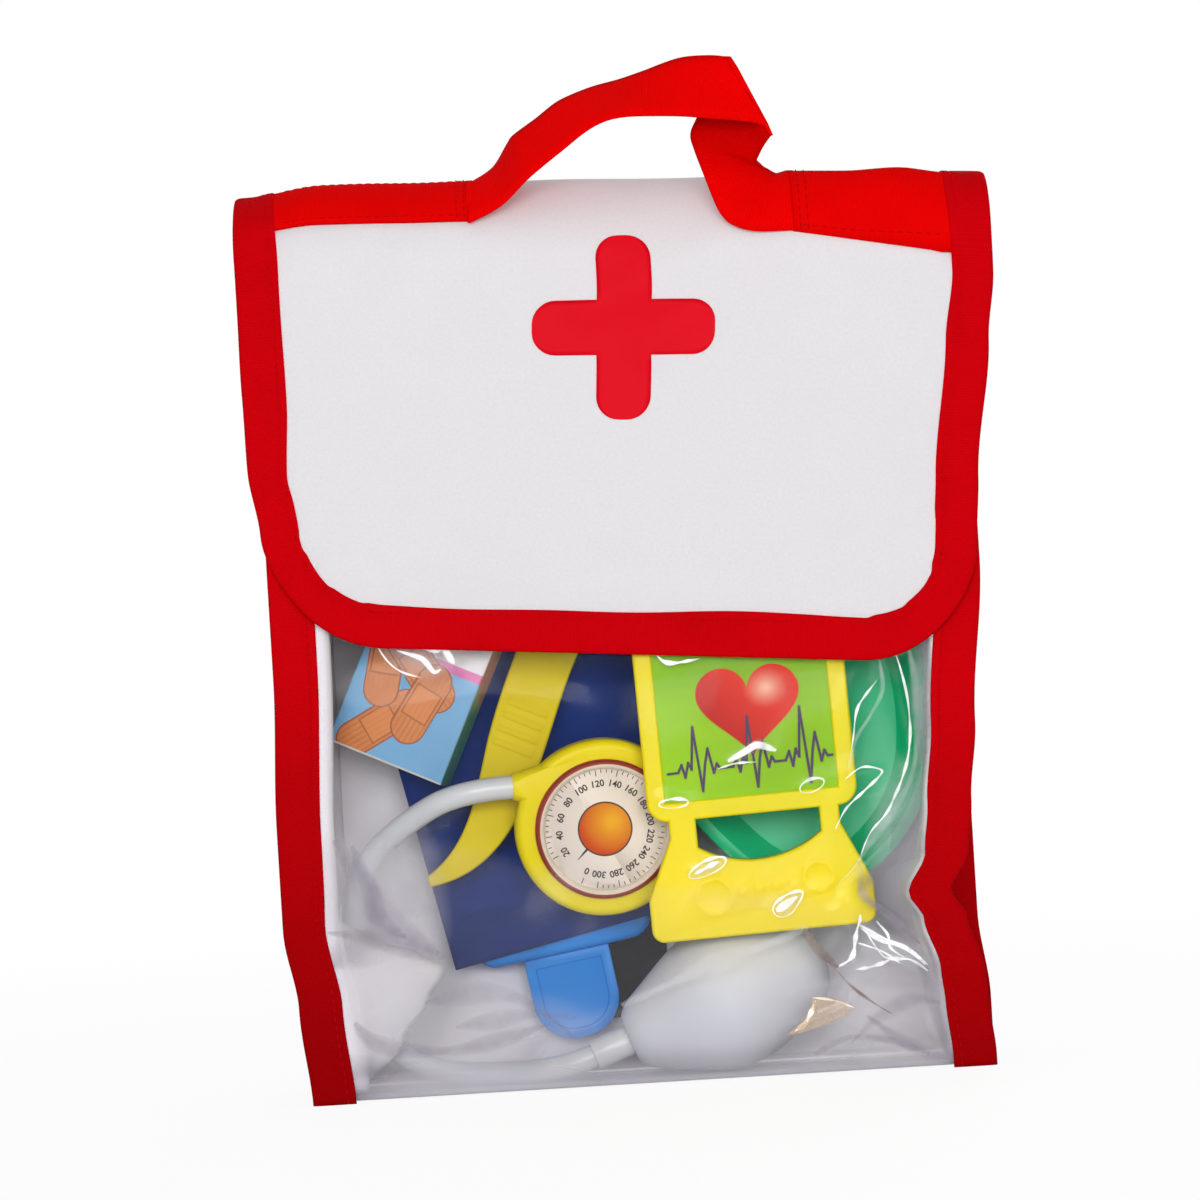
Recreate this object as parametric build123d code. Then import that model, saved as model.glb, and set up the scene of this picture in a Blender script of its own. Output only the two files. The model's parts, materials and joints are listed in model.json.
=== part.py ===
from build123d import *

import math
import os

# Toy doctor case: a soft pouch with a clear front, a flap, a webbing handle and its toy instruments.
# Millimetres, +Z up, the front faces -Y. All shapes are drawn about the middle of the pouch's depth,
# and the whole case is moved along Y at the end, so that its outline is centred on the origin.

# ---- the pouch ----
POUCH_DEPTH = 56.0  # back of the case to the face of the clear front
BACK_HEIGHT = 286.0  # floor to the hinge line of the flap
WINDOW_HEIGHT = 262.0  # floor to the mouth edge of the clear front
WINDOW_BEND = 8.0  # radius of the fold between the clear front and the floor
SEAM_HALF_WIDTH = 123.0  # middle to the outer edge of the side bindings
GUSSET_INSET = 1.0  # side gusset, in from the inner edge of the bindings
FABRIC = 1.6
GUSSET_FABRIC = 1.4
VINYL = 0.6
TAPE = 0.9  # one layer of binding tape
TAPE_WIDTH = 15.0
TAPE_EDGE = 1.0  # binding beyond the edge that it wraps
MOUTH_TAPE_WIDTH = 11.0
SOFT_GAP = 0.3  # clearance between pieces that are not sewn together

# ---- the flap ----
FLAP_GAP = 2.4  # clear front to the inside of the flap
FLAP_BOTTOM = 151.0
FLAP_HALF_TOP = 130.0  # at the hinge line
FLAP_HALF_BOTTOM = 126.0
FLAP_CORNER = 40.0
HINGE_GAP = 0.3
FLAP_MARGIN = 60.0  # how far the front view of the flap is drawn past the fold

# ---- the closure ----
CLOSURE_WIDTH = 64.0
CLOSURE_HEIGHT = 20.0
CLOSURE_PILE = 1.0
CLOSURE_Z = 206.0

# ---- the printed sign ----
SIGN_SIZE = 63.5
SIGN_ARM = 19.0
SIGN_X = 5.4
SIGN_Z = 265.5
SIGN_PRINT = 0.25
SIGN_ROUND = 8.0

# ---- the handle ----
WEBBING = 2.0
WEBBING_WIDTH = 25.0
STRAP_LEAN = 37.0  # how far the webbing leans forward of lying level, in degrees
RIGHT_STRAP_LEAN = 54.0  # its right end is sewn lower down the fold
LOOP_LEFT = -48.0
LOOP_RIGHT = 63.0
LOOP_RISE = 55.0
LOOP_SHOULDER = 35.0
LOOP_SHOULDER_RUN = 35.0
LOOP_TOP_RUN = 18.0
LOOP_TOP_ROUND = 14.0
LOOP_SHOULDER_ROUND = 40.0
LOOP_FOOT = 3.0  # sewn webbing that runs on under each foot of the loop
STRAP_END_GAP = 0.4  # between the end of the sewn webbing and the flap's binding

# ---- the pump, from the gauge to the bulb ----
GAUGE_X = -12.6
GAUGE_Y = -8.8
GAUGE_Z = 91.0
GAUGE_TURN = 6.0  # degrees that the gauge looks down, and to its right
GAUGE_RADIUS = 31.5
GAUGE_BACK = 5.0
GAUGE_FRONT = 6.0
GAUGE_BACK_RADIUS = 27.0
RING_RADIUS = 24.8
RING_WIDTH = 3.2
RING_HEIGHT = 2.6
DIAL_THICKNESS = 0.5
NIPPLE_Z = 16.6
NIPPLE_DEPTH = 1.5
NIPPLE_REACH = 31.5
NIPPLE_ROOT = 16.0
NIPPLE_DIAMETER = 9.6
NIPPLE_ROOT_DIAMETER = 17.0
GAUGE_EDGE = 3.0  # rounding of the drum's front rim
HOSE_DIAMETER = 8.5
COLLAR_X = -14.0
COLLAR_Y = -0.4
COLLAR_Z = 11.7
COLLAR_LENGTH = 14.0
COLLAR_DIAMETER = 11.0
BULB_RISE = 21.0  # degrees that the bulb's axis climbs to the right
BULB_LENGTH = 75.0
BULB_RADIUS = 26.0
BULB_NECK_RADIUS = 8.5

# The hose lies from the nipple down the left side of the pouch and along its floor to the bulb.
HOSE_ROUTE = [
    (-83.0, -4.0, 96.0),
    (-99.0, 8.0, 82.0),
    (-103.8, 14.5, 60.0),
    (-103.6, 14.5, 37.0),
    (-96.0, 4.0, 18.0),
    (-78.0, -11.8, 7.6),
    (-52.0, -12.6, 5.7),
]
HOSE_FIRST_RUN = 19.0
HOSE_LAST_RUN = 10.0

# ---- the bandage box and the tweezers share one lean ----
SLANT = 25.0
SLANT_X = -28.0
SLANT_Z = 153.0
BOX_WIDTH = 44.0
BOX_THICKNESS = 17.0
BOX_HEIGHT = 78.0
BOX_TURN = 10.0
BOX_X = -38.9
BOX_Y = -2.4
BOX_FOOT = -57.1
BOX_LIP = 1.6
ARM_THICKNESS = 2.2
ARM_TOP = 22.0
ARM_HALF_WIDTH = 11.4
ARM_LENGTH = 115.0
ARM_FRONT_Y = 2.6
ARM_BACK_Y = 7.9
ARM_SPLAY = 4.0
ARM_EDGE = 0.6
HEEL_HEIGHT = 12.0
RIB_COUNT = 4
RIB_PITCH = 5.0
RIB_HEIGHT = 0.8
RIB_THICKNESS = 2.2
RIB_LENGTH = 15.0
RIB_TOP = -20.0

# ---- the monitor ----
MONITOR_X = 40.4
MONITOR_FRONT = -26.2
MONITOR_THICKNESS = 8.0
MONITOR_TURN = 2.2
FRAME_WIDTH = 74.0
FRAME_HEIGHT = 76.0
FRAME_BOTTOM = 93.0
FRAME_CORNER = 7.0
FRAME_BAR = 6.6
SCREEN_DEPTH = 3.0
SCREEN_SINK = 1.4
FOOT_WIDTH = 79.0
FOOT_BOTTOM = 50.9
FOOT_HEIGHT = 15.0  # upright ends of the foot, under its slanting shoulders
FOOT_SHOULDER = 36.0  # foot's bottom to the top of its shoulders
FOOT_CORNER = 9.0
MONITOR_EDGE = 1.1  # rounding of the moulding's front edges
KEYS = [(-6.5, 66.6), (-0.5, 66.9), (5.5, 67.2), (11.5, 67.5)]
KEY_RADIUS = 1.8
NECK_WIDTH = 60.0
NECK_POST_LEFT = 9.5
NECK_POST_RIGHT = 7.0
NECK_CURVE = 38.0
NECK_CURVE_BOTTOM = 77.0
BUTTONS = [(-16.5, 65.3, 7.0), (20.5, 69.0, 6.0)]
BUTTON_HEIGHT = 0.6
BUTTON_RING = 1.6

# ---- the dish, the hammer and the cuff ----
DISH_X = 53.0
DISH_Z = 141.0
DISH_TURN = 14.0
DISH_HALF_WIDTH = 52.0
DISH_HALF_LENGTH = 80.0
DISH_FRONT = -2.0
DISH_DEPTH = 12.0
DISH_WALL = 1.8
DISH_RIM = 2.4
DISH_SLOPE = 9.0  # how far the wall comes in from the rim to the bottom
HAMMER_X = -30.0
HAMMER_Z = 53.5
HAMMER_TURN = 9.0
HAMMER_FRONT = 14.9
HEAD_LENGTH = 65.0
HEAD_HEIGHT = 17.0
HEAD_THICKNESS = 9.4
GRIP_WIDTH = 31.0
GRIP_LENGTH = 31.0
GRIP_THICKNESS = 7.4
GRIP_BORDER = 3.6
GRIP_SINK = 1.0
CUFF_X = -68.9
CUFF_Z = 40.9
CUFF_TURN = 12.5
CUFF_WIDTH = 96.0
CUFF_HEIGHT = 118.0
CUFF_THICKNESS = 3.8
CUFF_FRONT = 10.6
CUFF_TAPE_X = -3.5
CUFF_TAPE_WIDTH = 22.0
CUFF_TAPE_THICKNESS = 1.3
CUFF_TAPE_FOOT = 20.0
CUFF_TAPE_BEND = 74.0
CUFF_TAPE_LAP = 94.0
CUFF_TAPE_TOP = 112.0

# ---- places that follow from the sizes ----
window_front = -POUCH_DEPTH / 2
back_face = POUCH_DEPTH / 2
window_back = window_front + VINYL
seam_inner = SEAM_HALF_WIDTH - TAPE_WIDTH
seam_edge = SEAM_HALF_WIDTH - TAPE_EDGE
front_tape_back = window_back + TAPE
back_tape_front = back_face - FABRIC - TAPE
gusset_x = seam_inner + GUSSET_INSET
flap_front = window_front - FLAP_GAP - FABRIC
fold_y = (back_face + flap_front) / 2
fold_z = BACK_HEIGHT + HINGE_GAP
fold_radius = (back_face - flap_front) / 2
strap_radius = fold_radius + WEBBING
loop_pivot = strap_radius + SOFT_GAP + WEBBING_WIDTH / 2


def slab(outline, front, back):
    """A front-view outline made solid between two depths."""
    return extrude(Plane.XZ.offset(-back) * outline, back - front)


def between(profile, left, right):
    """A side-view profile made solid between two places across the case."""
    return extrude(Plane.YZ.offset(left) * profile, right - left)


def bar(left, right, low, high):
    """A rectangle by its edges."""
    return Pos((left + right) / 2, (low + high) / 2) * Rectangle(right - left, high - low)


# ---------------------------------------------------------------- pouch


def back_panel():
    return slab(bar(-seam_edge, seam_edge, TAPE_EDGE, BACK_HEIGHT), back_face - FABRIC, back_face)


def back_binding(panel, side):
    strip = bar(seam_inner, SEAM_HALF_WIDTH, 0, BACK_HEIGHT)
    if side < 0:
        strip = mirror(strip, Plane.YZ)
    return slab(strip, back_tape_front, back_face + TAPE) - panel


def window_panel():
    """The clear front and the floor are one sheet, bent along the bottom edge."""
    floor_end = back_face - FABRIC - SOFT_GAP
    bend = WINDOW_BEND
    middle = fold_corner(floor_end, bend, 0) - fold_corner(floor_end, bend, VINYL)
    flat = between(middle, -seam_inner + SOFT_GAP, seam_inner - SOFT_GAP)
    whole = bar(-seam_edge, seam_edge, TAPE_EDGE, WINDOW_HEIGHT)
    wings = whole - bar(-seam_inner + SOFT_GAP, seam_inner - SOFT_GAP, 0, WINDOW_HEIGHT + TAPE_WIDTH)
    return flat + slab(wings, window_front, window_back)


def fold_corner(floor_end, bend, inset):
    """Side view of everything behind the clear sheet's face, set in by its thickness."""
    block = bar(window_front + inset, floor_end, inset, WINDOW_HEIGHT)
    corner = block.vertices().group_by(Axis.Y)[0].sort_by(Axis.X)[0]
    return fillet(corner, bend - inset)


def window_top_binding(window):
    reach = seam_inner - SOFT_GAP
    strip = bar(-reach, reach, WINDOW_HEIGHT + TAPE_EDGE - MOUTH_TAPE_WIDTH, WINDOW_HEIGHT + TAPE_EDGE)
    return slab(strip, window_front - TAPE, front_tape_back) - window


def front_binding(window, side):
    strip = bar(seam_inner, SEAM_HALF_WIDTH, 0, WINDOW_HEIGHT + TAPE_EDGE)
    if side < 0:
        strip = mirror(strip, Plane.YZ)
    return slab(strip, window_front - TAPE, front_tape_back) - window


def side_gusset(side):
    """White side of the pouch, from the front seam to the back seam, with its top cut on a slope."""
    profile = make_face(
        Polyline(
            (front_tape_back, 0),
            (back_tape_front, 0),
            (back_tape_front, BACK_HEIGHT - 2 * TAPE),
            (front_tape_back, WINDOW_HEIGHT),
            close=True,
        )
    )
    if side > 0:
        return between(profile, gusset_x, gusset_x + GUSSET_FABRIC)
    return between(profile, -gusset_x - GUSSET_FABRIC, -gusset_x)


def closure_tape(front, back):
    half = CLOSURE_WIDTH / 2
    strip = bar(-half, half, CLOSURE_Z - CLOSURE_HEIGHT / 2, CLOSURE_Z + CLOSURE_HEIGHT / 2)
    return slab(strip, front, back)


# ---------------------------------------------------------------- flap


def fold_band(inner, outer):
    """Side view of a sheet that rises over the top fold and hangs down in front."""
    ring = Circle(outer) - Circle(inner)
    arch = ring & bar(-outer, outer, 0, outer)
    drop = bar(-outer, -inner, FLAP_BOTTOM - fold_z - TAPE_WIDTH, 0)
    return Pos(fold_y, fold_z) * (arch + drop)


def flap_half_width(height):
    """The flap narrows evenly from its hinge line to its bottom edge."""
    share = (height - FLAP_BOTTOM) / (fold_z - FLAP_BOTTOM)
    return FLAP_HALF_BOTTOM + share * (FLAP_HALF_TOP - FLAP_HALF_BOTTOM)


def flap_outline(inset):
    """Front view of the flap, drawn in from its edge; it runs on past the top fold."""
    top = fold_z + FLAP_MARGIN
    bottom = FLAP_BOTTOM + inset
    half_top = flap_half_width(top) - inset
    half_bottom = flap_half_width(FLAP_BOTTOM) - inset
    shape = make_face(
        Polyline(
            (-half_top, top),
            (-half_bottom, bottom),
            (half_bottom, bottom),
            (half_top, top),
            close=True,
        )
    )
    return fillet(shape.vertices().group_by(Axis.Y)[0], FLAP_CORNER - inset)


def folded(inner, outer, outline, back=POUCH_DEPTH):
    """The part of a folded sheet that lies inside a front-view outline."""
    reach = flap_half_width(fold_z + FLAP_MARGIN)
    sheet = between(fold_band(inner, outer), -reach, reach)
    return sheet & slab(outline, -POUCH_DEPTH, back)


def flap_panel():
    return folded(fold_radius - FABRIC, fold_radius, flap_outline(TAPE_EDGE))


def flap_binding(panel):
    border = flap_outline(0) - flap_outline(TAPE_WIDTH)
    return folded(fold_radius - FABRIC - TAPE, fold_radius + TAPE, border) - panel


def plus_print():
    """A printed sign with round-ended arms, a thin skin on the flap."""
    upright = RectangleRounded(SIGN_ARM, SIGN_SIZE, SIGN_ROUND)
    level = RectangleRounded(SIGN_SIZE, SIGN_ARM, SIGN_ROUND)
    sign = Pos(SIGN_X, SIGN_Z) * (upright + level)
    return folded(fold_radius, fold_radius + SIGN_PRINT, sign, fold_y)


# ---------------------------------------------------------------- handle


def strap_end(left, right, lean):
    """Webbing sewn flat over the front shoulder of the fold."""
    ring = Circle(strap_radius) - Circle(fold_radius)
    width = Pos(0, strap_radius) * Rectangle(WEBBING_WIDTH, fold_radius)
    profile = Pos(fold_y, fold_z) * (ring & Rot(0, 0, lean) * width)
    return between(profile, left, right)


def handle_loop():
    """The free arch of webbing. Its feet are round about the line that it swings on."""
    lean = math.radians(STRAP_LEAN)
    seat = (0, fold_y - strap_radius * math.sin(lean), fold_z + strap_radius * math.cos(lean))
    arch_plane = Plane(origin=seat, x_dir=(1, 0, 0), z_dir=(0, -math.cos(lean), -math.sin(lean)))
    path = FilletPolyline(
        (LOOP_LEFT, 0),
        (LOOP_LEFT + LOOP_SHOULDER_RUN, LOOP_SHOULDER),
        (LOOP_RIGHT - LOOP_TOP_RUN, LOOP_RISE),
        (LOOP_RIGHT, 0),
        radius=[LOOP_SHOULDER_ROUND, LOOP_TOP_ROUND],
    )
    band = extrude(arch_plane * trace(path, WEBBING), WEBBING_WIDTH / 2, both=True)
    reach = 2 * LOOP_RISE
    tongue = Circle(WEBBING_WIDTH / 2) + Pos(0, reach / 2) * Rectangle(WEBBING_WIDTH, reach)
    outline = Pos(fold_y, fold_z) * Rot(0, 0, STRAP_LEAN) * Pos(0, loop_pivot) * tongue
    return band & between(outline, LOOP_LEFT - WEBBING_WIDTH, LOOP_RIGHT + WEBBING_WIDTH)


# ---------------------------------------------------------------- pump


def gauge_seat():
    return Pos(GAUGE_X, GAUGE_Y, GAUGE_Z) * Rot(GAUGE_TURN, 0, GAUGE_TURN)


def turned(profile_points):
    """A ring or drum about the gauge's axis, which runs front to back."""
    profile = make_face(Polyline(*profile_points, close=True))
    return revolve(profile, Axis.Y)


def nipple_end():
    """Where the hose leaves the gauge. The hose sets off along -X of this place."""
    return gauge_seat() * Pos(-NIPPLE_REACH, -NIPPLE_DEPTH, NIPPLE_Z)


def gauge_body():
    drum = turned(
        [
            (0, GAUGE_BACK),
            (GAUGE_BACK_RADIUS, GAUGE_BACK),
            (GAUGE_RADIUS, GAUGE_BACK - 3.5),
            (GAUGE_RADIUS, -GAUGE_FRONT),
            (0, -GAUGE_FRONT),
        ]
    )
    rim = drum.edges().filter_by_position(Axis.Y, -GAUGE_FRONT, -GAUGE_FRONT)
    drum = fillet(rim, GAUGE_EDGE)
    length = NIPPLE_REACH - NIPPLE_ROOT
    stem = Rot(0, -90, 0) * Cone(NIPPLE_ROOT_DIAMETER / 2, NIPPLE_DIAMETER / 2, length)
    stem = Pos(-NIPPLE_REACH + length / 2, -NIPPLE_DEPTH, NIPPLE_Z) * stem
    reach = GAUGE_RADIUS + GAUGE_BACK
    back = Pos(0, GAUGE_BACK + reach / 2, 0) * Box(2 * reach, reach, 2 * reach)
    front = Pos(0, -GAUGE_FRONT - reach / 2, 0) * Box(2 * reach, reach, 2 * reach)
    return gauge_seat() * (drum + (stem - back - front))


def gauge_ring():
    front = -GAUGE_FRONT - RING_HEIGHT
    inner = RING_RADIUS - RING_WIDTH
    ring = turned(
        [
            (inner, -GAUGE_FRONT),
            (RING_RADIUS, -GAUGE_FRONT),
            (RING_RADIUS, front + 0.9),
            (RING_RADIUS - 0.9, front),
            (inner + 0.9, front),
            (inner, front + 0.9),
        ]
    )
    return gauge_seat() * ring


def gauge_dial():
    disc = Rot(90, 0, 0) * Cylinder(RING_RADIUS - RING_WIDTH, DIAL_THICKNESS)
    return gauge_seat() * Pos(0, -GAUGE_FRONT - DIAL_THICKNESS / 2, 0) * disc


def collar_seat():
    return Pos(COLLAR_X, COLLAR_Y, COLLAR_Z) * Rot(0, -BULB_RISE, 0)


def bulb_collar():
    barrel = Rot(0, 90, 0) * Cylinder(COLLAR_DIAMETER / 2, COLLAR_LENGTH)
    return collar_seat() * barrel


def squeeze_bulb():
    """A pear with its narrow end at the collar, turned about the pump's axis."""
    neck = BULB_NECK_RADIUS
    upper = Spline(
        (0, neck),
        (0.14 * BULB_LENGTH, 0.62 * BULB_RADIUS),
        (0.48 * BULB_LENGTH, BULB_RADIUS),
        (0.84 * BULB_LENGTH, 0.73 * BULB_RADIUS),
        (BULB_LENGTH, 0),
        tangents=[(0.6, 1), (0, -1)],
    )
    half = make_face(upper + Polyline((BULB_LENGTH, 0), (0, 0), (0, neck)))
    return collar_seat() * Pos(COLLAR_LENGTH / 2, 0, 0) * revolve(half, Axis.X)


def hose_points():
    start = nipple_end().position
    first = (nipple_end() * Pos(-HOSE_FIRST_RUN, 0, 0)).position
    end = (collar_seat() * Pos(-COLLAR_LENGTH / 2, 0, 0)).position
    last = (collar_seat() * Pos(-COLLAR_LENGTH / 2 - HOSE_LAST_RUN, 0, 0)).position
    return [start, first] + [Vector(*point) for point in HOSE_ROUTE] + [last, end]


def pressure_hose():
    points = hose_points()
    radii = []
    for before, here, after in zip(points, points[1:], points[2:]):
        turn = (here - before).get_angle(after - here)
        run = min((here - before).length, (after - here).length)
        radii.append(0.45 * run / math.tan(math.radians(turn / 2)))
    path = FilletPolyline(*points, radius=radii)
    print("hose radii", [round(radius, 1) for radius in radii])
    print("hose length", round(path.length, 1))
    section = Plane(origin=points[0], z_dir=points[1] - points[0]) * Circle(HOSE_DIAMETER / 2)
    tube = sweep(section, path=path)
    print("hose volume over section times length", tube.volume / (section.area * path.length))
    return tube


# ---------------------------------------------------------------- box and tweezers


def slanted():
    """The place that the box and the tweezers lean about."""
    return Pos(SLANT_X, 0, SLANT_Z) * Rot(0, SLANT, 0)


def bandage_box():
    carton = Box(BOX_WIDTH, BOX_THICKNESS, BOX_HEIGHT)
    carton = fillet(carton.edges().filter_by(Axis.Z), 0.8)
    slot = Pos(0, -BOX_THICKNESS / 2 + BOX_LIP, BOX_HEIGHT / 2) * Box(BOX_WIDTH - 6, 0.5, 4)
    centre = Pos(BOX_X, BOX_Y, BOX_FOOT + BOX_HEIGHT / 2) * Rot(0, 0, -BOX_TURN)
    return slanted() * centre * (carton - slot)


def arm_outline():
    """One arm of the tweezers: a tapered blade whose tip turns to the left."""
    foot = ARM_TOP - ARM_LENGTH
    wide = ARM_HALF_WIDTH
    right = Spline(
        (wide, ARM_TOP - 6),
        (0.97 * wide, 0.35 * foot),
        (0.4 * wide, 0.85 * foot),
        (-0.8 * wide, foot),
    )
    left = Spline(
        (-0.98 * wide, foot + 3),
        (-0.5 * wide, 0.8 * foot),
        (-0.8 * wide, 0.4 * foot),
        (-wide, 0),
        (-wide, ARM_TOP - 6),
    )
    tip = Line((-0.8 * wide, foot), (-0.98 * wide, foot + 3))
    crown = ThreePointArc((-wide, ARM_TOP - 6), (0, ARM_TOP), (wide, ARM_TOP - 6))
    return make_face(right + tip + left + crown)


def finger_ribs(front):
    grip = Part()
    for step in range(RIB_COUNT):
        low = RIB_TOP - step * RIB_PITCH - RIB_THICKNESS
        ridge = bar(-RIB_LENGTH / 2, RIB_LENGTH / 2, low, low + RIB_THICKNESS)
        grip += slab(ridge, front - RIB_HEIGHT, front)
    return grip


def arm_blade(front):
    """One blade, bevelled all along its front."""
    blade = slab(arm_outline(), front, front + ARM_THICKNESS)
    return chamfer(blade.edges().filter_by_position(Axis.Y, front, front), ARM_EDGE)


def tweezers_front_arm():
    """Splayed about its top edge, where it bends when the tweezers are squeezed."""
    arm = arm_blade(ARM_FRONT_Y) + finger_ribs(ARM_FRONT_Y)
    top = Pos(0, ARM_FRONT_Y + ARM_THICKNESS, ARM_TOP)
    arm = top * Rot(-ARM_SPLAY, 0, 0) * top.inverse() * arm
    return slanted() * arm


def tweezers_back_arm():
    arm = arm_blade(ARM_BACK_Y)
    heel = arm_outline() & bar(-ARM_HALF_WIDTH, ARM_HALF_WIDTH, ARM_TOP - HEEL_HEIGHT, ARM_TOP)
    return slanted() * (arm + slab(heel, ARM_FRONT_Y + ARM_THICKNESS + SOFT_GAP, ARM_BACK_Y))


# ---------------------------------------------------------------- monitor


def monitor_place():
    middle = FRAME_BOTTOM
    return Pos(MONITOR_X, 0, middle) * Rot(0, -MONITOR_TURN, 0) * Pos(0, 0, -middle)


def screen_outline(inset):
    half = FRAME_WIDTH / 2 - FRAME_BAR - inset
    low = FRAME_BOTTOM + FRAME_BAR + inset
    return bar(-half, half, low, FRAME_BOTTOM + FRAME_HEIGHT - FRAME_BAR - inset)


def foot_outline():
    """The neck and the foot under it, which flares out over slanting shoulders."""
    neck = NECK_WIDTH / 2
    foot = FOOT_WIDTH / 2
    low = FOOT_BOTTOM + FOOT_HEIGHT
    shoulder = FOOT_BOTTOM + FOOT_SHOULDER
    half = [(neck, FRAME_BOTTOM), (neck, shoulder), (foot, low), (foot, FOOT_BOTTOM)]
    shape = make_face(Polyline(*half, *[(-x, z) for x, z in reversed(half)], close=True))
    return fillet(shape.vertices().filter_by_position(Axis.Y, FOOT_BOTTOM, low), FOOT_CORNER / 2)


def monitor_stand():
    """Frame, neck and foot are one flat moulding; the gap in the neck is a finger hole."""
    back = MONITOR_FRONT + MONITOR_THICKNESS
    frame = RectangleRounded(FRAME_WIDTH, FRAME_HEIGHT, FRAME_CORNER)
    frame = Pos(0, FRAME_BOTTOM + FRAME_HEIGHT / 2) * frame
    half = NECK_WIDTH / 2
    gap = bar(-half + NECK_POST_LEFT, half - NECK_POST_RIGHT, FOOT_BOTTOM, FRAME_BOTTOM)
    gap = gap & Pos(0, NECK_CURVE_BOTTOM + NECK_CURVE) * Circle(NECK_CURVE)
    stand = slab(frame + foot_outline() - gap, MONITOR_FRONT, back)
    stand -= slab(screen_outline(0), MONITOR_FRONT, MONITOR_FRONT + SCREEN_SINK + SCREEN_DEPTH)
    front_edges = stand.edges().filter_by_position(Axis.Y, MONITOR_FRONT, MONITOR_FRONT)
    stand = fillet(front_edges, MONITOR_EDGE)
    for x, z, radius in BUTTONS:
        ring = Circle(radius) - Circle(radius - BUTTON_RING)
        stand += slab(Pos(x, z) * ring, MONITOR_FRONT - BUTTON_HEIGHT, MONITOR_FRONT)
    for x, z in KEYS:
        stand += slab(Pos(x, z) * Circle(KEY_RADIUS), MONITOR_FRONT - BUTTON_HEIGHT, MONITOR_FRONT)
    return monitor_place() * stand


def monitor_screen():
    front = MONITOR_FRONT + SCREEN_SINK
    return monitor_place() * slab(screen_outline(0), front, front + SCREEN_DEPTH)


# ---------------------------------------------------------------- dish, hammer, cuff


def dish_outline(inset):
    """A kidney with its hollow side to the left of its upper half."""
    wide = DISH_HALF_WIDTH - inset
    tall = DISH_HALF_LENGTH - inset
    edge = Spline(
        (0, -tall),
        (0.74 * wide, -0.68 * tall),
        (wide, 0),
        (0.72 * wide, 0.72 * tall),
        (0.08 * wide, tall),
        (-0.56 * wide, 0.8 * tall),
        (-0.74 * wide, 0.45 * tall),
        (-0.98 * wide, 0),
        (-0.74 * wide, -0.66 * tall),
        periodic=True,
    )
    return make_face(edge)


def dish_bowl(inset, back):
    """The space inside a wall that slopes in towards the bottom."""
    mouth = Plane.XZ.offset(-DISH_FRONT) * dish_outline(DISH_RIM + inset)
    bottom = Plane.XZ.offset(-back) * dish_outline(DISH_RIM + DISH_SLOPE + inset)
    return loft([mouth, bottom])


def kidney_dish():
    """A shallow tray, open to the front, with sloping walls and a rim turned outwards."""
    back = DISH_FRONT + DISH_DEPTH
    rim = slab(dish_outline(0), DISH_FRONT, DISH_FRONT + DISH_WALL)
    tray = dish_bowl(0, back) + rim - dish_bowl(DISH_WALL, back - DISH_WALL)
    return Pos(DISH_X, 0, DISH_Z) * Rot(0, -DISH_TURN, 0) * tray


def hammer_place():
    return Pos(HAMMER_X, HAMMER_FRONT, HAMMER_Z) * Rot(0, -HAMMER_TURN, 0)


def hammer_head():
    end = HEAD_HEIGHT / 2 - 0.5
    block = slab(RectangleRounded(HEAD_LENGTH, HEAD_HEIGHT, end), 0, HEAD_THICKNESS)
    rims = block.faces().filter_by(Axis.Y).edges()
    return hammer_place() * fillet(rims, HEAD_THICKNESS / 4)


def hammer_handle():
    """A flat grip with a raised border; its top edge meets the head."""
    top = -HEAD_HEIGHT / 2
    front = (HEAD_THICKNESS - GRIP_THICKNESS) / 2
    grip = grip_outline(top, 0)
    sunk = grip_outline(top, GRIP_BORDER)
    plate = slab(grip, front, front + GRIP_THICKNESS) - slab(sunk, front, front + GRIP_SINK)
    return hammer_place() * plate


def grip_outline(top, inset):
    half = GRIP_WIDTH / 2 - inset
    low = top - GRIP_LENGTH + inset
    shape = bar(-half, half, low, top - inset)
    return fillet(shape.vertices().group_by(Axis.Y)[0], half - 1.0)


def arm_cuff():
    cloth = RectangleRounded(CUFF_WIDTH, CUFF_HEIGHT, 4)
    cloth = slab(Pos(CUFF_WIDTH / 2, CUFF_HEIGHT / 2) * cloth, CUFF_FRONT, CUFF_FRONT + CUFF_THICKNESS)
    return Pos(CUFF_X, 0, CUFF_Z) * Rot(0, -CUFF_TURN, 0) * cloth


def cuff_tape():
    """Black tape that comes off the back of the cuff and hangs down behind the hammer."""
    lap = CUFF_FRONT + CUFF_THICKNESS + CUFF_TAPE_THICKNESS / 2
    low = back_face - FABRIC - SOFT_GAP - CUFF_TAPE_THICKNESS / 2
    path = FilletPolyline(
        (low, CUFF_TAPE_FOOT),
        (low, CUFF_TAPE_BEND),
        (lap, CUFF_TAPE_LAP),
        (lap, CUFF_TAPE_TOP),
        radius=8,
    )
    half = CUFF_TAPE_WIDTH / 2
    return between(trace(path, CUFF_TAPE_THICKNESS), CUFF_TAPE_X - half, CUFF_TAPE_X + half)


# ---------------------------------------------------------------- the whole case


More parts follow.
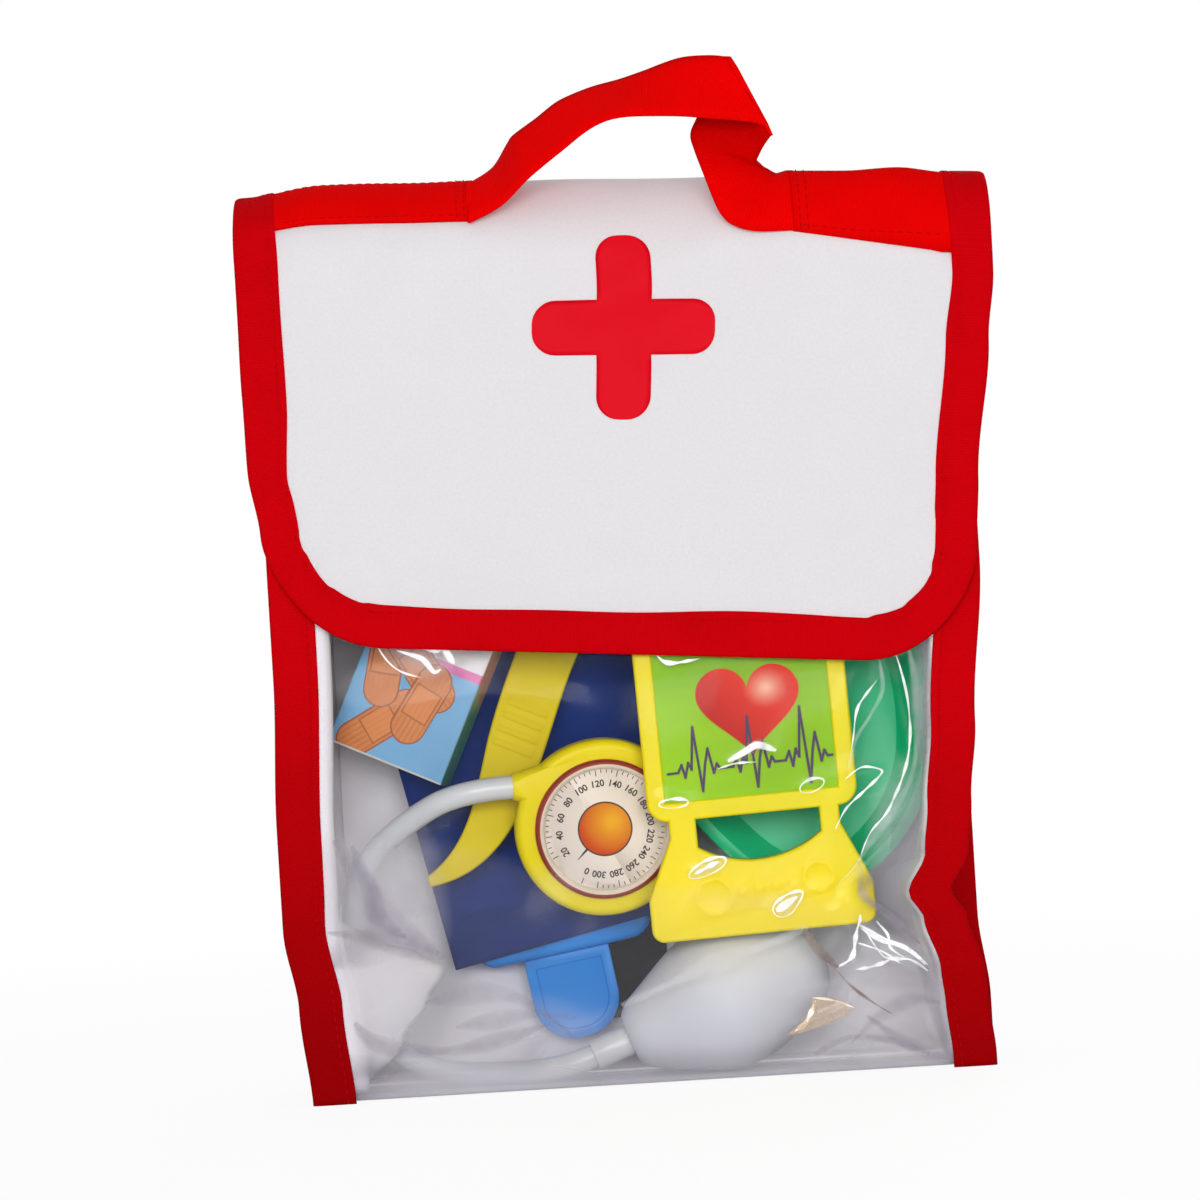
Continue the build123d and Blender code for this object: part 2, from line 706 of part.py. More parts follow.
def build():
    back = back_panel()
    window = window_panel()
    flap = flap_panel()
    strap_half = flap_half_width(fold_z) - TAPE_WIDTH - STRAP_END_GAP
    return {
        "back_panel": back,
        "back_binding_left": back_binding(back, -1),
        "back_binding_right": back_binding(back, 1),
        "side_gusset_left": side_gusset(-1),
        "side_gusset_right": side_gusset(1),
        "window_panel": window,
        "window_top_binding": window_top_binding(window),
        "front_binding_left": front_binding(window, -1),
        "front_binding_right": front_binding(window, 1),
        "loop_tape": closure_tape(window_front - CLOSURE_PILE, window_front),
        "hook_tape": closure_tape(flap_front + FABRIC, flap_front + FABRIC + CLOSURE_PILE),
        "flap_panel": flap,
        "flap_binding": flap_binding(flap),
        "plus_print": plus_print(),
        "strap_end_left": strap_end(-strap_half, LOOP_LEFT + LOOP_FOOT, STRAP_LEAN),
        "strap_end_right": strap_end(LOOP_RIGHT - LOOP_FOOT, strap_half, RIGHT_STRAP_LEAN),
        "handle_loop": handle_loop(),
        "gauge_body": gauge_body(),
        "gauge_ring": gauge_ring(),
        "gauge_dial": gauge_dial(),
        "pressure_hose": pressure_hose(),
        "bulb_collar": bulb_collar(),
        "squeeze_bulb": squeeze_bulb(),
        "bandage_box": bandage_box(),
        "tweezers_front_arm": tweezers_front_arm(),
        "tweezers_back_arm": tweezers_back_arm(),
        "monitor_stand": monitor_stand(),
        "monitor_screen": monitor_screen(),
        "kidney_dish": kidney_dish(),
        "hammer_head": hammer_head(),
        "hammer_handle": hammer_handle(),
        "arm_cuff": arm_cuff(),
        "cuff_tape": cuff_tape(),
    }


def main():
    parts = build()
    boxes = [part.bounding_box() for part in parts.values()]
    middle_y = (min(box.min.Y for box in boxes) + max(box.max.Y for box in boxes)) / 2
    print("moved along Y by", round(-middle_y, 4))
    os.makedirs("parts", exist_ok=True)
    for name, part in parts.items():
        export_step(Pos(0, -middle_y, 0) * part, f"parts/{name}.step")


main()
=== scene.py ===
import json
import math
import random
from contextlib import contextmanager

import bmesh
import bpy
from mathutils import Matrix, Vector


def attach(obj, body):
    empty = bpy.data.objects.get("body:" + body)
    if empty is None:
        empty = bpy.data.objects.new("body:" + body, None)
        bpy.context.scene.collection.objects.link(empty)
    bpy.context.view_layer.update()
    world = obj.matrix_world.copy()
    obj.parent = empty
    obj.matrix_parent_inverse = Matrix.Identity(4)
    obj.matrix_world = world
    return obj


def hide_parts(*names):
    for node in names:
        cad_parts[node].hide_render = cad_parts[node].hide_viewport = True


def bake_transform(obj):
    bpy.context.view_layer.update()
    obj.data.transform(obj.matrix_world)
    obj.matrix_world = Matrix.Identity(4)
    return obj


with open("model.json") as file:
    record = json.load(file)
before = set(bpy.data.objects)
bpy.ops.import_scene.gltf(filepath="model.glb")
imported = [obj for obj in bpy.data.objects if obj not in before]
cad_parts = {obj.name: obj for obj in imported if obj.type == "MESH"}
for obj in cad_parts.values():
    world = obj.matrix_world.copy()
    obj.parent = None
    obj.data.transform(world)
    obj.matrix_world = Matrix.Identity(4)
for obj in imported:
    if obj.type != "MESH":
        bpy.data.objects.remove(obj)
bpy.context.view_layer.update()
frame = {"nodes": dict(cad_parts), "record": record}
body_of = {node: body for body, nodes in frame["record"]["behaviour"]["bodies"].items() for node in nodes}

# Sizes are in millimetres, from the middle of the pouch's depth.
MM = 0.001
SHIFT_Y = 16.8563  # the pouch's middle depth, behind the origin
FRONT = -28.0
BACK = 28.0
SEAM = 123.0  # half the width, seam to seam
CLOTH_HALF = 119.0  # half the width of the clear front and the back, inside their tapes
MOUTH = 262.0
HINGE = 286.0
FABRIC = 1.5
TAPE = 15.0  # the binding's width on one face
TAPE_THICK = 0.72
STITCH_IN = 12.0  # from an edge to its binding's stitches
WEBBING = 25.0

# The flap is measured by x and by how far along the cloth from the hinge line.
FOLD_R = 30.0
FOLD_Y = -2.0
FOLD_Z = 286.3
ARC = math.pi * FOLD_R
FLAP_FOOT = 151.0  # the height of the flap's lower edge
FLAP_END = ARC + FOLD_Z - FLAP_FOOT
FLAP_TOP_HALF = 130.0
FLAP_LOW_HALF = 126.0
FLAP_CORNER = 40.0


# ---------------------------------------------------------------- numbers


def lerp(a, b, t):
    return a + (b - a) * t


def clamp(t, low=0.0, high=1.0):
    return max(low, min(high, t))


def smooth(t):
    t = clamp(t)
    return t * t * (3 - 2 * t)


def table(rows, at):
    """Reads a value between the rows of a table whose first column rises."""
    if at <= rows[0][0]:
        return rows[0][1]
    for (a, va), (b, vb) in zip(rows, rows[1:]):
        if at <= b:
            return lerp(va, vb, smooth((at - a) / (b - a)))
    return rows[-1][1]


def waves(seed, count, longest, shortest):
    """A fixed sum of soft waves over a plane, about one high."""
    dice = random.Random(seed)
    parts = []
    for _ in range(count):
        length = dice.uniform(shortest, longest)
        angle = dice.uniform(0, math.pi)
        step = 2 * math.pi / length
        parts.append((math.cos(angle) * step, math.sin(angle) * step, dice.uniform(0, 6.3)))

    def height(u, v):
        return sum(math.sin(a * u + b * v + c) for a, b, c in parts) / math.sqrt(count)

    return height


def crease(u, v, line, width):
    """One on the line's middle, falling to nothing at its ends and sides."""
    (ax, ay), (bx, by) = line
    dx, dy = bx - ax, by - ay
    length = math.hypot(dx, dy)
    along = ((u - ax) * dx + (v - ay) * dy) / length
    off = ((u - ax) * dy - (v - ay) * dx) / length
    if along < -width or along > length + width:
        return 0.0
    ends = smooth((along + width) / (2 * width)) * smooth((length + width - along) / (2 * width))
    return math.exp(-((off / width) ** 2)) * ends


def soft_step(p, q, r, s, t):
    """A value between q and r on the soft line through p, q, r and s."""
    return 0.5 * (2 * q + (r - p) * t + (2 * p - 5 * q + 4 * r - s) * t * t + (3 * q - p - 3 * r + s) * t**3)


def spline(points, count):
    """A soft line through rows of numbers, with count steps from each row to the next."""
    rows = [points[0]] + list(points) + [points[-1]]
    line = []
    for four in zip(rows, rows[1:], rows[2:], rows[3:]):
        for step in range(count):
            line.append(tuple(soft_step(*values, step / count) for values in zip(*four)))
    line.append(tuple(points[-1]))
    return line


def steps(low, high, size):
    """Even steps of about a size, both ends included."""
    count = max(1, round(abs(high - low) / size))
    return [lerp(low, high, i / count) for i in range(count + 1)]


def runs(line):
    """How far along a line each of its points is."""
    total = [0.0]
    for a, b in zip(line, line[1:]):
        total.append(total[-1] + math.dist(a, b))
    return total


def direction(line, index):
    """The unit direction of a flat line at one of its points."""
    (ax, ay), (bx, by) = line[max(index - 1, 0)], line[min(index + 1, len(line) - 1)]
    length = math.hypot(bx - ax, by - ay) or 1.0
    return (bx - ax) / length, (by - ay) / length


# ---------------------------------------------------------------- meshes


def place(point):
    x, y, z = point
    return (x * MM, (y + SHIFT_Y) * MM, z * MM)


def put_in_scene(name, data):
    piece = bpy.data.objects.new(name, data)
    bpy.context.scene.collection.objects.link(piece)
    return piece


@contextmanager
def reworked(mesh):
    """Opens a mesh for editing and writes it back."""
    work = bmesh.new()
    work.from_mesh(mesh)
    yield work
    work.to_mesh(mesh)
    work.free()


def add_mesh(name, points, faces, uvs=None, closed=True):
    """A mesh piece from points in millimetres; uvs are places on the flat cut cloth."""
    mesh = bpy.data.meshes.new(name)
    mesh.from_pydata([place(p) for p in points], [], faces)
    if uvs:
        layer = mesh.uv_layers.new(name="cut")
        for loop in mesh.loops:
            u, v = uvs[loop.vertex_index]
            layer.data[loop.index].uv = (u * MM, v * MM)
    if closed:
        with reworked(mesh) as work:
            bmesh.ops.recalc_face_normals(work, faces=work.faces)
    mesh.shade_smooth()
    mesh.update()
    return put_in_scene(name, mesh)


def settle(piece):
    """Turns a piece and its modifiers into a plain mesh."""
    graph = bpy.context.evaluated_depsgraph_get()
    mesh = bpy.data.meshes.new_from_object(
        piece.evaluated_get(graph), preserve_all_data_layers=True, depsgraph=graph
    )
    piece.modifiers.clear()
    piece.data = mesh
    return piece


def grid_faces(columns, rows, flip=False, start=0):
    faces = []
    for j in range(rows - 1):
        for i in range(columns - 1):
            a = start + j * columns + i
            face = (a, a + 1, a + 1 + columns, a + columns)
            faces.append(face[::-1] if flip else face)
    return faces


def two_skins(name, us, vs, outer, inner, uv=None):
    """A sheet with thickness: two skins over one grid, closed round the rim."""
    columns, rows = len(us), len(vs)
    points, uvs = [], []
    for skin in (outer, inner):
        for v in vs:
            for u in us:
                points.append(skin(u, v))
                uvs.append(uv(u, v) if uv else (u, v))
    count = columns * rows
    faces = grid_faces(columns, rows) + grid_faces(columns, rows, True, count)
    rim = list(range(columns))
    rim += [j * columns + columns - 1 for j in range(1, rows)]
    rim += [(rows - 1) * columns + i for i in range(columns - 2, -1, -1)]
    rim += [j * columns for j in range(rows - 2, 0, -1)]
    for a, b in zip(rim, rim[1:] + rim[:1]):
        faces.append((a, a + count, b + count, b))
    return add_mesh(name, points, faces, uvs)


FRONT_POINTS = 12  # of the tape's profile, from its inner edge out to the fold


def tape_profile(width, thick, sheet):
    """Binding cut across: (in from the edge, out from the cloth), with the dent that the stitches pull."""
    front = [
        (width, 0.02), (width - 0.15, thick * 0.75), (width - 0.6, thick), (width - 2.6, thick * 1.05),
        (width - 3.0, thick * 0.78), (width - 3.4, thick * 1.08), (width * 0.55, thick * 1.2),
        (width * 0.3, thick * 1.15), (1.2, thick), (0.2, thick * 0.72), (-0.5, thick * 0.1),
        (-0.75, -sheet * 0.5),
    ]
    behind = [
        (-0.5, thick * 0.1), (0.2, thick * 0.72), (1.2, thick), (width * 0.5, thick * 1.1),
        (width - 0.6, thick), (width - 0.1, 0.02),
    ]
    return front + [(w, -sheet - lift) for w, lift in behind]


def wrapped_tape(name, edge, surface, widths, sheet, thick=TAPE_THICK, ripple=None):
    """Binding tape folded over an edge: a line in the surface's own plane, with the cloth on its left."""
    points, uvs, along = [], [], 0.0
    last = len(edge) - 1
    for index, (a, b) in enumerate(edge):
        ta, tb = direction(edge, index)
        if 0 < index < last:
            along += math.dist(edge[index - 1], (a, b))
        profile = tape_profile(widths(index / last) if callable(widths) else widths, thick, sheet)
        for number, (w, lift) in enumerate(profile):
            if ripple:
                lift += ripple(along, w, number)
            points.append(surface(a - tb * w, b + ta * w, lift))
            uvs.append((along, w if number < FRONT_POINTS else -2 - w))
    size = len(profile)
    faces = []
    for j in range(len(edge) - 1):
        for i in range(size):
            a, b = j * size + i, j * size + (i + 1) % size
            faces.append((a, b, b + size, a + size))
    faces.append(tuple(range(size)))
    faces.append(tuple(range(len(points) - size, len(points))))
    return add_mesh(name, points, faces, uvs)


def rounded_path(corners, step=4.0):
    """A line through corners (a, b, radius), as points a step apart."""
    line = [corners[0][:2]]
    for before, corner, after in zip(corners, corners[1:], corners[2:]):
        centre = Vector(corner[:2])
        to = (Vector(before[:2]) - centre).normalized()
        on = (Vector(after[:2]) - centre).normalized()
        radius = corner[2]
        half = math.acos(clamp(to.dot(on), -1, 1)) / 2
        cut = radius / math.tan(half)
        hub = centre + (to + on).normalized() * (radius / math.sin(half))
        start, end = centre + to * cut - hub, centre + on * cut - hub
        turn = math.atan2(start.x * end.y - start.y * end.x, start.dot(end))
        count = max(6, round(abs(turn) * radius / step * 1.6))
        line += straight(line[-1], tuple(hub + start), step)
        for i in range(1, count + 1):
            c, s = math.cos(turn * i / count), math.sin(turn * i / count)
            line.append(tuple(hub + Vector((start.x * c - start.y * s, start.x * s + start.y * c))))
    line += straight(line[-1], corners[-1][:2], step)
    return line


def straight(a, b, step):
    count = max(1, round(math.hypot(b[0] - a[0], b[1] - a[1]) / step))
    return [(lerp(a[0], b[0], i / count), lerp(a[1], b[1], i / count)) for i in range(1, count + 1)]


FLAT_ANGLE = math.radians(0.6)  # faces that meet flatter than this are one face
EASED_ANGLE = math.radians(32)  # edges sharper than this are eased


def dressed(node, finish, bevel=0.0, soft=35.0):
    """A copy of a frame node with its small edges eased, which stands for it."""
    mesh = frame["nodes"][node].data.copy()
    mesh.name = node + "_shape"
    with reworked(mesh) as work:
        bmesh.ops.remove_doubles(work, verts=work.verts, dist=1e-6)
        if bevel:
            bmesh.ops.dissolve_limit(work, angle_limit=FLAT_ANGLE, verts=work.verts, edges=work.edges)
    if mesh.has_custom_normals:
        mesh.normals_split_custom_set([(0, 0, 0)] * len(mesh.loops))
    piece = put_in_scene(node + "_piece", mesh)
    if bevel:
        ease = piece.modifiers.new("eased edges", "BEVEL")
        ease.width = bevel * MM
        ease.segments = 2
        ease.limit_method = "ANGLE"
        ease.angle_limit = EASED_ANGLE
        settle(piece)
    piece.data.shade_smooth()
    piece.data.set_sharp_from_angle(angle=math.radians(soft))
    return finish_piece(piece, finish, body_of[node], [node])


def finish_piece(piece, finish, body, nodes=()):
    """Gives a piece its material and its body, and hides the frame nodes that it stands for."""
    piece.data.materials.clear()
    piece.data.materials.append(finish)
    if body:
        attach(piece, body)
    if nodes:
        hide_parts(*nodes)
    return piece


# ---------------------------------------------------------------- shader maths


def linear(level):
    """A display level, 0 to 255, as linear light."""
    return level / 255 / 12.92 if level <= 10 else ((level / 255 + 0.055) / 1.055) ** 2.4


def tone(red, green, blue):
    """A display colour, 0 to 255, as a linear one."""
    return (linear(red), linear(green), linear(blue), 1.0)


class Value:
    """A shader socket that takes part in Python sums."""

    def __init__(self, finish, socket):
        self.finish, self.socket = finish, socket

    def sum(self, operation, *inputs):
        return self.finish.add("ShaderNodeMath", {"operation": operation}, dict(enumerate(inputs)))

    def __add__(self, other):
        return self.sum("ADD", self, other)

    def __radd__(self, other):
        return self.sum("ADD", other, self)

    def __sub__(self, other):
        return self.sum("SUBTRACT", self, other)

    def __rsub__(self, other):
        return self.sum("SUBTRACT", other, self)

    def __mul__(self, other):
        return self.sum("MULTIPLY", self, other)

    def __rmul__(self, other):
        return self.sum("MULTIPLY", other, self)

    def __truediv__(self, other):
        return self.sum("DIVIDE", self, other)

    def __rtruediv__(self, other):
        return self.sum("DIVIDE", other, self)

    def __neg__(self):
        return self.sum("MULTIPLY", self, -1.0)

    def power(self, other):
        return self.sum("POWER", self, other)

    def sine(self):
        return self.sum("SINE", self)

    def size(self):
        return self.sum("ABSOLUTE", self)

    def least(self, other):
        return self.sum("MINIMUM", self, other)

    def most(self, other):
        return self.sum("MAXIMUM", self, other)

    def ramp(self, low, high):
        """0 below low and 1 above high, evenly between."""
        return self.finish.add("ShaderNodeMapRange", {}, {"Value": self, "From Min": low, "From Max": high})


class Nodes:
    """A node tree under construction."""

    def __init__(self, tree, end):
        self.tree = tree
        self.tree.nodes.clear()
        self.end = self.tree.nodes.new(end)

    def make(self, kind, settings=None, sockets=None):
        """One node: its settings first, then the values or links of its sockets."""
        node = self.tree.nodes.new(kind)
        for name, value in (settings or {}).items():
            setattr(node, name, value)
        for name, value in (sockets or {}).items():
            value = value.socket if isinstance(value, Value) else value
            if isinstance(value, bpy.types.NodeSocket):
                self.tree.links.new(value, node.inputs[name])
            else:
                node.inputs[name].default_value = value
        return node


class Finish(Nodes):
    """A material, or the sky, under construction."""

    def __init__(self, name, store=bpy.data.materials, end="ShaderNodeOutputMaterial"):
        self.made = store.new(name)
        self.made.use_nodes = True
        super().__init__(self.made.node_tree, end)

    def add(self, kind, settings=None, sockets=None, out=0):
        return Value(self, self.make(kind, settings, sockets).outputs[out])

    def here(self):
        return self.add("ShaderNodeTexCoord", out="Object")

    def cut(self):
        return self.add("ShaderNodeUVMap", {"uv_map": "cut"})

    def turned(self, vector, centre, angles, scale):
        centred = self.add("ShaderNodeVectorMath", {"operation": "SUBTRACT"}, {0: vector, 1: centre})
        return self.add("ShaderNodeMapping", {}, {"Vector": centred, "Rotation": angles, "Scale": scale})

    def parts(self, vector):
        node = self.make("ShaderNodeSeparateXYZ", {}, {0: vector})
        return [Value(self, node.outputs[i]) for i in range(3)]

    def noise(self, vector, scale, detail=2.0, roughness=0.5):
        sockets = {"Vector": vector, "Scale": scale, "Detail": detail, "Roughness": roughness}
        return self.add("ShaderNodeTexNoise", {}, sockets)

    def mix(self, mask, a, b):
        return self.add("ShaderNodeMix", {"data_type": "RGBA"}, {0: mask, 6: a, 7: b}, 2)

    def mixed(self, mask, a, b):
        """Shader a where the mask is 0, and b where it is 1."""
        return self.add("ShaderNodeMixShader", {}, {0: mask, 1: a, 2: b})

    def clear(self, colour):
        return self.add("ShaderNodeBsdfTransparent", {}, {"Color": colour})

    def seen(self):
        """1 where the camera looks straight, in a gloss or through a clear piece."""
        path = self.make("ShaderNodeLightPath")
        names = ("Is Camera Ray", "Is Glossy Ray", "Is Transmission Ray")
        straight_on, in_gloss, through = [Value(self, path.outputs[name]) for name in names]
        return straight_on.most(in_gloss).most(through)

    def bump(self, height, distance, strength=1.0):
        return self.add("ShaderNodeBump", {}, {"Height": height, "Distance": distance, "Strength": strength})

    def surface(self, colour, roughness, normal=None, **more):
        sockets = {"Base Color": colour, "Roughness": roughness}
        if normal is not None:
            sockets["Normal"] = normal
        sockets.update({name.replace("_", " "): value for name, value in more.items()})
        return self.add("ShaderNodeBsdfPrincipled", {}, sockets)

    def done(self, shader):
        self.tree.links.new(shader.socket, self.end.inputs["Surface"])
        return self.made


def woven(name, colour, dark, thread, depth, roughness, sheen=0.05, on_cut=True):
    """Plain weave: warp and weft threads that pass over and under each other."""
    f = Finish(name)
    at = f.cut() if on_cut else f.here()
    parts = f.parts(at)
    u, v = parts[0], parts[1 if on_cut else 2]
    turn = 2 * math.pi / (thread * MM)
    over = (u * turn).sine() * (v * turn).sine()
    fine = f.noise(at, 900.0, 2.0)
    broad = f.noise(at, 22.0, 3.0)
    mask = (over * 0.25 + 0.5 + (fine - 0.5) * 0.5).ramp(0.0, 1.0)
    shade = f.mix(mask, tone(*dark), tone(*colour))
    shade = f.mix((broad - 0.5).size() * 0.6, shade, tone(*dark))
    normal = f.bump(over * 0.5 + fine * 0.6, depth * MM)
    rough = fine * 0.15 + (roughness - 0.07)
    gloss = {"Sheen_Weight": sheen, "Sheen_Roughness": 0.4, "Specular_IOR_Level": 0.12}
    return f.done(f.surface(shade, rough, normal, **gloss))


THREAD_PITCH = 0.5  # of the fine threads along a tape


def ribbed(name, colour, dark, pitch, depth, folded=False):
    """Grosgrain tape: ribs across its length, with finer threads along it."""
    f = Finish(name)
    at = f.cut()
    u, v, _ = f.parts(at)
    rib = (u * (2 * math.pi / (pitch * MM))).sine()
    thread = (v * (2 * math.pi / (THREAD_PITCH * MM))).sine()
    fine = f.noise(at, 1500.0, 2.0)
    worn = f.noise(f.here(), 35.0, 3.0)
    mask = (rib * 0.32 + thread * 0.1 + (fine - 0.5) * 0.5 + 0.55).ramp(0.0, 1.0)
    shade = f.mix(mask * 0.3 + 0.7, tone(*dark), tone(*colour))
    shade = f.mix(worn.ramp(0.5, 0.9) * 0.3, shade, tone(*dark))
    x, y, z = f.parts(f.here())
    # painted shade: the tape is darker lower down the case, and more towards its right side
    low = (z + (x - 0.115) * 0.13).ramp(0.134, -0.01)
    shade = f.mix(low * 0.85, shade, tone(132, 0, 3))
    if folded:
        # painted shadow: the back half of the loop is a deeper red under the half folded over it
        behind = (y - (SHIFT_Y - 48.0) * MM).ramp(0.0, 0.003) * (0.3475 - z).ramp(0.0, 0.004)
        behind = behind * (x - 0.027).ramp(0.0, 0.003)
        shade = f.mix(behind * (z - 0.314).ramp(0.0, 0.021) * 0.55, shade, tone(110, 0, 0))
    normal = f.bump(rib * 0.7 + thread * 0.2 + fine * 0.4, depth * MM)
    return f.done(f.surface(shade, fine * 0.12 + 0.74, normal, Specular_IOR_Level=0.02))


def moulded(name, colour, low, roughness, level=0.5, coat=0.0, grain=0.02, streak=0.5, **more):
    """Moulded plastic: faint flow marks, tiny pits and a fine uneven gloss."""
    f = Finish(name)
    at = f.here()
    broad = f.noise(at, 18.0, 3.0)
    fine = f.noise(at, 700.0, 2.0)
    shade = f.mix(broad.ramp(0.35, 0.75) * streak, tone(*colour), tone(*low))
    normal = f.bump(fine + broad * 0.6, grain * MM)
    rough = (roughness - 0.05) + broad * 0.08 + fine * 0.04
    return f.done(f.surface(shade, rough, normal, Coat_Weight=coat, Specular_IOR_Level=level, **more))


# ---------------------------------------------------------------- the case's own shapes


# how far the slack sides stand to the right of their straight lines: (height, distance)
LEFT_SAG = [(-2, 4), (34, 1), (62, -3), (97, -3), (150, -1), (188, -1), (262, 0)]
RIGHT_SAG = [
    (4, -3.5), (23, -5), (35, -6), (53, -11), (62, -16), (76, -9), (93, -7), (121, -4), (177, 1), (286, 1),
]
BACK_SAG = [(20, 0), (50, -3), (90, -3), (120, 0)]


def pouch(x, y, z):
    """Where the slack pouch really holds a point of its flat pattern."""
    front = smooth((BACK - y) / (BACK - FRONT))
    share = (x + SEAM) / (2 * SEAM)
    pull = lerp(table(LEFT_SAG, z), table(RIGHT_SAG, z), share) * front
    pull += table(BACK_SAG, z) * share * (1 - front)
    return (x + pull, y, z)


FLAP_LEFT_PULL = [(150, 4), (165, 4), (190, 2), (213, -0.5), (238, 0), (287, 1.3)]
FLAP_RIGHT_PULL = [(150, -8), (190, -4), (212, -2.8), (257, 2.4), (280, 4.8)]
flap_waves = waves(11, 7, 190, 70)
flap_fine = waves(12, 6, 46, 22)
# soft folds of the flap's cloth: both ends as (x, along), height and width
FLAP_FOLDS = [
    ((44, 88), (-14, 112), 1.5, 8), ((48, 92), (8, 128), -1.0, 7),
    ((60, 96), (100, 116), 1.1, 8), ((-52, 84), (-78, 104), 0.9, 8),
    ((-108, 210), (-76, 236), 1.2, 7), ((-96, 196), (-60, 214), -0.8, 8),
    ((104, 208), (78, 232), 1.2, 7), ((106, 176), (84, 186), -0.8, 8),
]


def flap_ease(x, run):
    """Soft unevenness of the flap's cloth, none at the hinge."""
    side = smooth((min(abs(x), FLAP_TOP_HALF) - 92) / 26)
    foot = 1 - smooth((FLAP_END - run) / 40)
    swell = flap_waves(x, run) * 0.55 + flap_fine(x, run) * (0.05 + 0.22 * side + 0.2 * foot)
    for start, end, high, wide in FLAP_FOLDS:
        swell += high * crease(x, run, (start, end), wide)
    return swell * smooth(run / 60)


def flap_at(x, run, lift=0.0):
    """A place on the flap's outer face, or lift out from it."""
    if run < ARC:
        turn = run / FOLD_R
        # the fold is squarer towards the right shoulder
        square = 1 - 0.38 * smooth((x - 10) / 100) * smooth((turn - 1.2) / 0.7)
        c, s = math.cos(turn), math.sin(turn)
        y = FOLD_Y + FOLD_R * math.copysign(abs(c) ** square, c) + lift * c
        z = FOLD_Z + FOLD_R * s**square + lift * s
    else:
        turn = math.pi
        y, z = FOLD_Y - FOLD_R - lift, FOLD_Z - (run - ARC)
    settled = smooth(turn / (math.pi / 2))
    # the lower edge slants down to the right more than the fold does, and the shoulders are lower
    share = clamp((z - FLAP_FOOT) / 165, -0.2, 1.1)
    rise = lerp(1.3 - 0.082 * x, 3.5 - 0.030 * x, share)
    rise -= 3.0 * smooth((abs(x) - 100) / 25) * smooth((z - 285) / 25)
    side = (1 + x / FLAP_TOP_HALF) / 2
    pull = lerp(table(FLAP_LEFT_PULL, z), table(FLAP_RIGHT_PULL, z), side)
    ease = flap_ease(x, run)
    return (x + pull * settled, y + math.cos(turn) * ease, z + rise * settled + math.sin(turn) * ease)


def flap_reach(run, inset):
    """Half the width of the flap's cloth at a place along it, in from the edge."""
    half = lerp(FLAP_TOP_HALF, FLAP_LOW_HALF, max(run - ARC, 0) / (FLAP_END - ARC)) - inset
    corner = FLAP_CORNER - inset
    over = run - (FLAP_END - FLAP_CORNER)
    if over > 0:
        half -= corner - math.sqrt(max(corner**2 - min(over, corner) ** 2, 0))
    return half


# ---------------------------------------------------------------- finishes

white_cloth = woven("coated white cloth", (228, 227, 229), (206, 203, 207), 0.42, 0.05, 0.62)
# painted light: the back and sides are a lighter copy of the flap's white cloth, lifted to offset the shade
# inside the pouch
lifted_pouch_cloth = woven("white side cloth", (240, 238, 241), (222, 218, 224), 0.42, 0.05, 0.62)
navy_cloth = woven("navy cloth", (20, 62, 146), (4, 32, 98), 0.7, 0.09, 0.85, 0.05, False)
black_tape = woven("black tape", (30, 30, 36), (12, 12, 16), 0.9, 0.12, 0.8, 0.2, False)
pile_tape = woven("white fastening tape", (226, 224, 226), (190, 186, 192), 0.9, 0.3, 0.9, 0.4, False)
red_tape = ribbed("red grosgrain tape", (197, 0, 9), (148, 0, 5), 0.9, 0.04)
red_webbing = ribbed("red webbing", (222, 0, 0), (186, 0, 0), 1.0, 0.05)
# the loop's webbing carries a painted shadow under its fold
loop_webbing = ribbed("red webbing of the loop", (228, 0, 0), (192, 0, 0), 1.0, 0.05, True)
red_thread = moulded("red thread", (184, 0, 6), (150, 0, 4), 0.7, 0.05)
sign_print = moulded("red printed film", (214, 2, 26), (202, 0, 20), 0.5, 0.06, grain=0.03)
yellow = moulded("yellow plastic", (244, 226, 2), (234, 210, 0), 0.34, 0.2)
tweezers_yellow = moulded("tweezers plastic", (226, 204, 2), (204, 178, 0), 0.4, 0.1)
dial_card = moulded("dial card", (244, 234, 226), (230, 219, 209), 0.55)
dial_ink = moulded("dial ink", (64, 48, 46), (46, 34, 34), 0.6)
pulse_ink = moulded("dark violet ink", (62, 34, 78), (44, 24, 60), 0.5)
white_plastic = moulded("white plastic", (222, 224, 226), (206, 208, 212), 0.3, coat=0.1)
white_rubber = moulded("white rubber", (222, 223, 231), (210, 212, 222), 0.5, 0.25, grain=0.03)
green_plastic = moulded("green plastic", (0, 206, 142), (0, 170, 112), 0.3, 0.25)
blue_plastic = moulded("blue plastic", (0, 138, 228), (0, 112, 206), 0.32, 0.2)
milky_hose = moulded(
    "milky tube", (222, 225, 229), (206, 210, 216), 0.32, coat=0.1, streak=0.6,
    Subsurface_Weight=0.15, Subsurface_Radius=(0.004, 0.004, 0.004), Subsurface_Scale=1.0,
)

# painted reflections: pale milky patches on the clear front over the shaded inside: (x, height, half width, half
# height, strength), in metres
PAINTED_REFLECTION_PATCHES = [
    (-0.092, 0.060, 0.025, 0.050, 0.24), (-0.062, 0.016, 0.050, 0.024, 0.24),
    (0.095, 0.078, 0.017, 0.036, 0.26), (0.086, 0.024, 0.028, 0.024, 0.25),
]


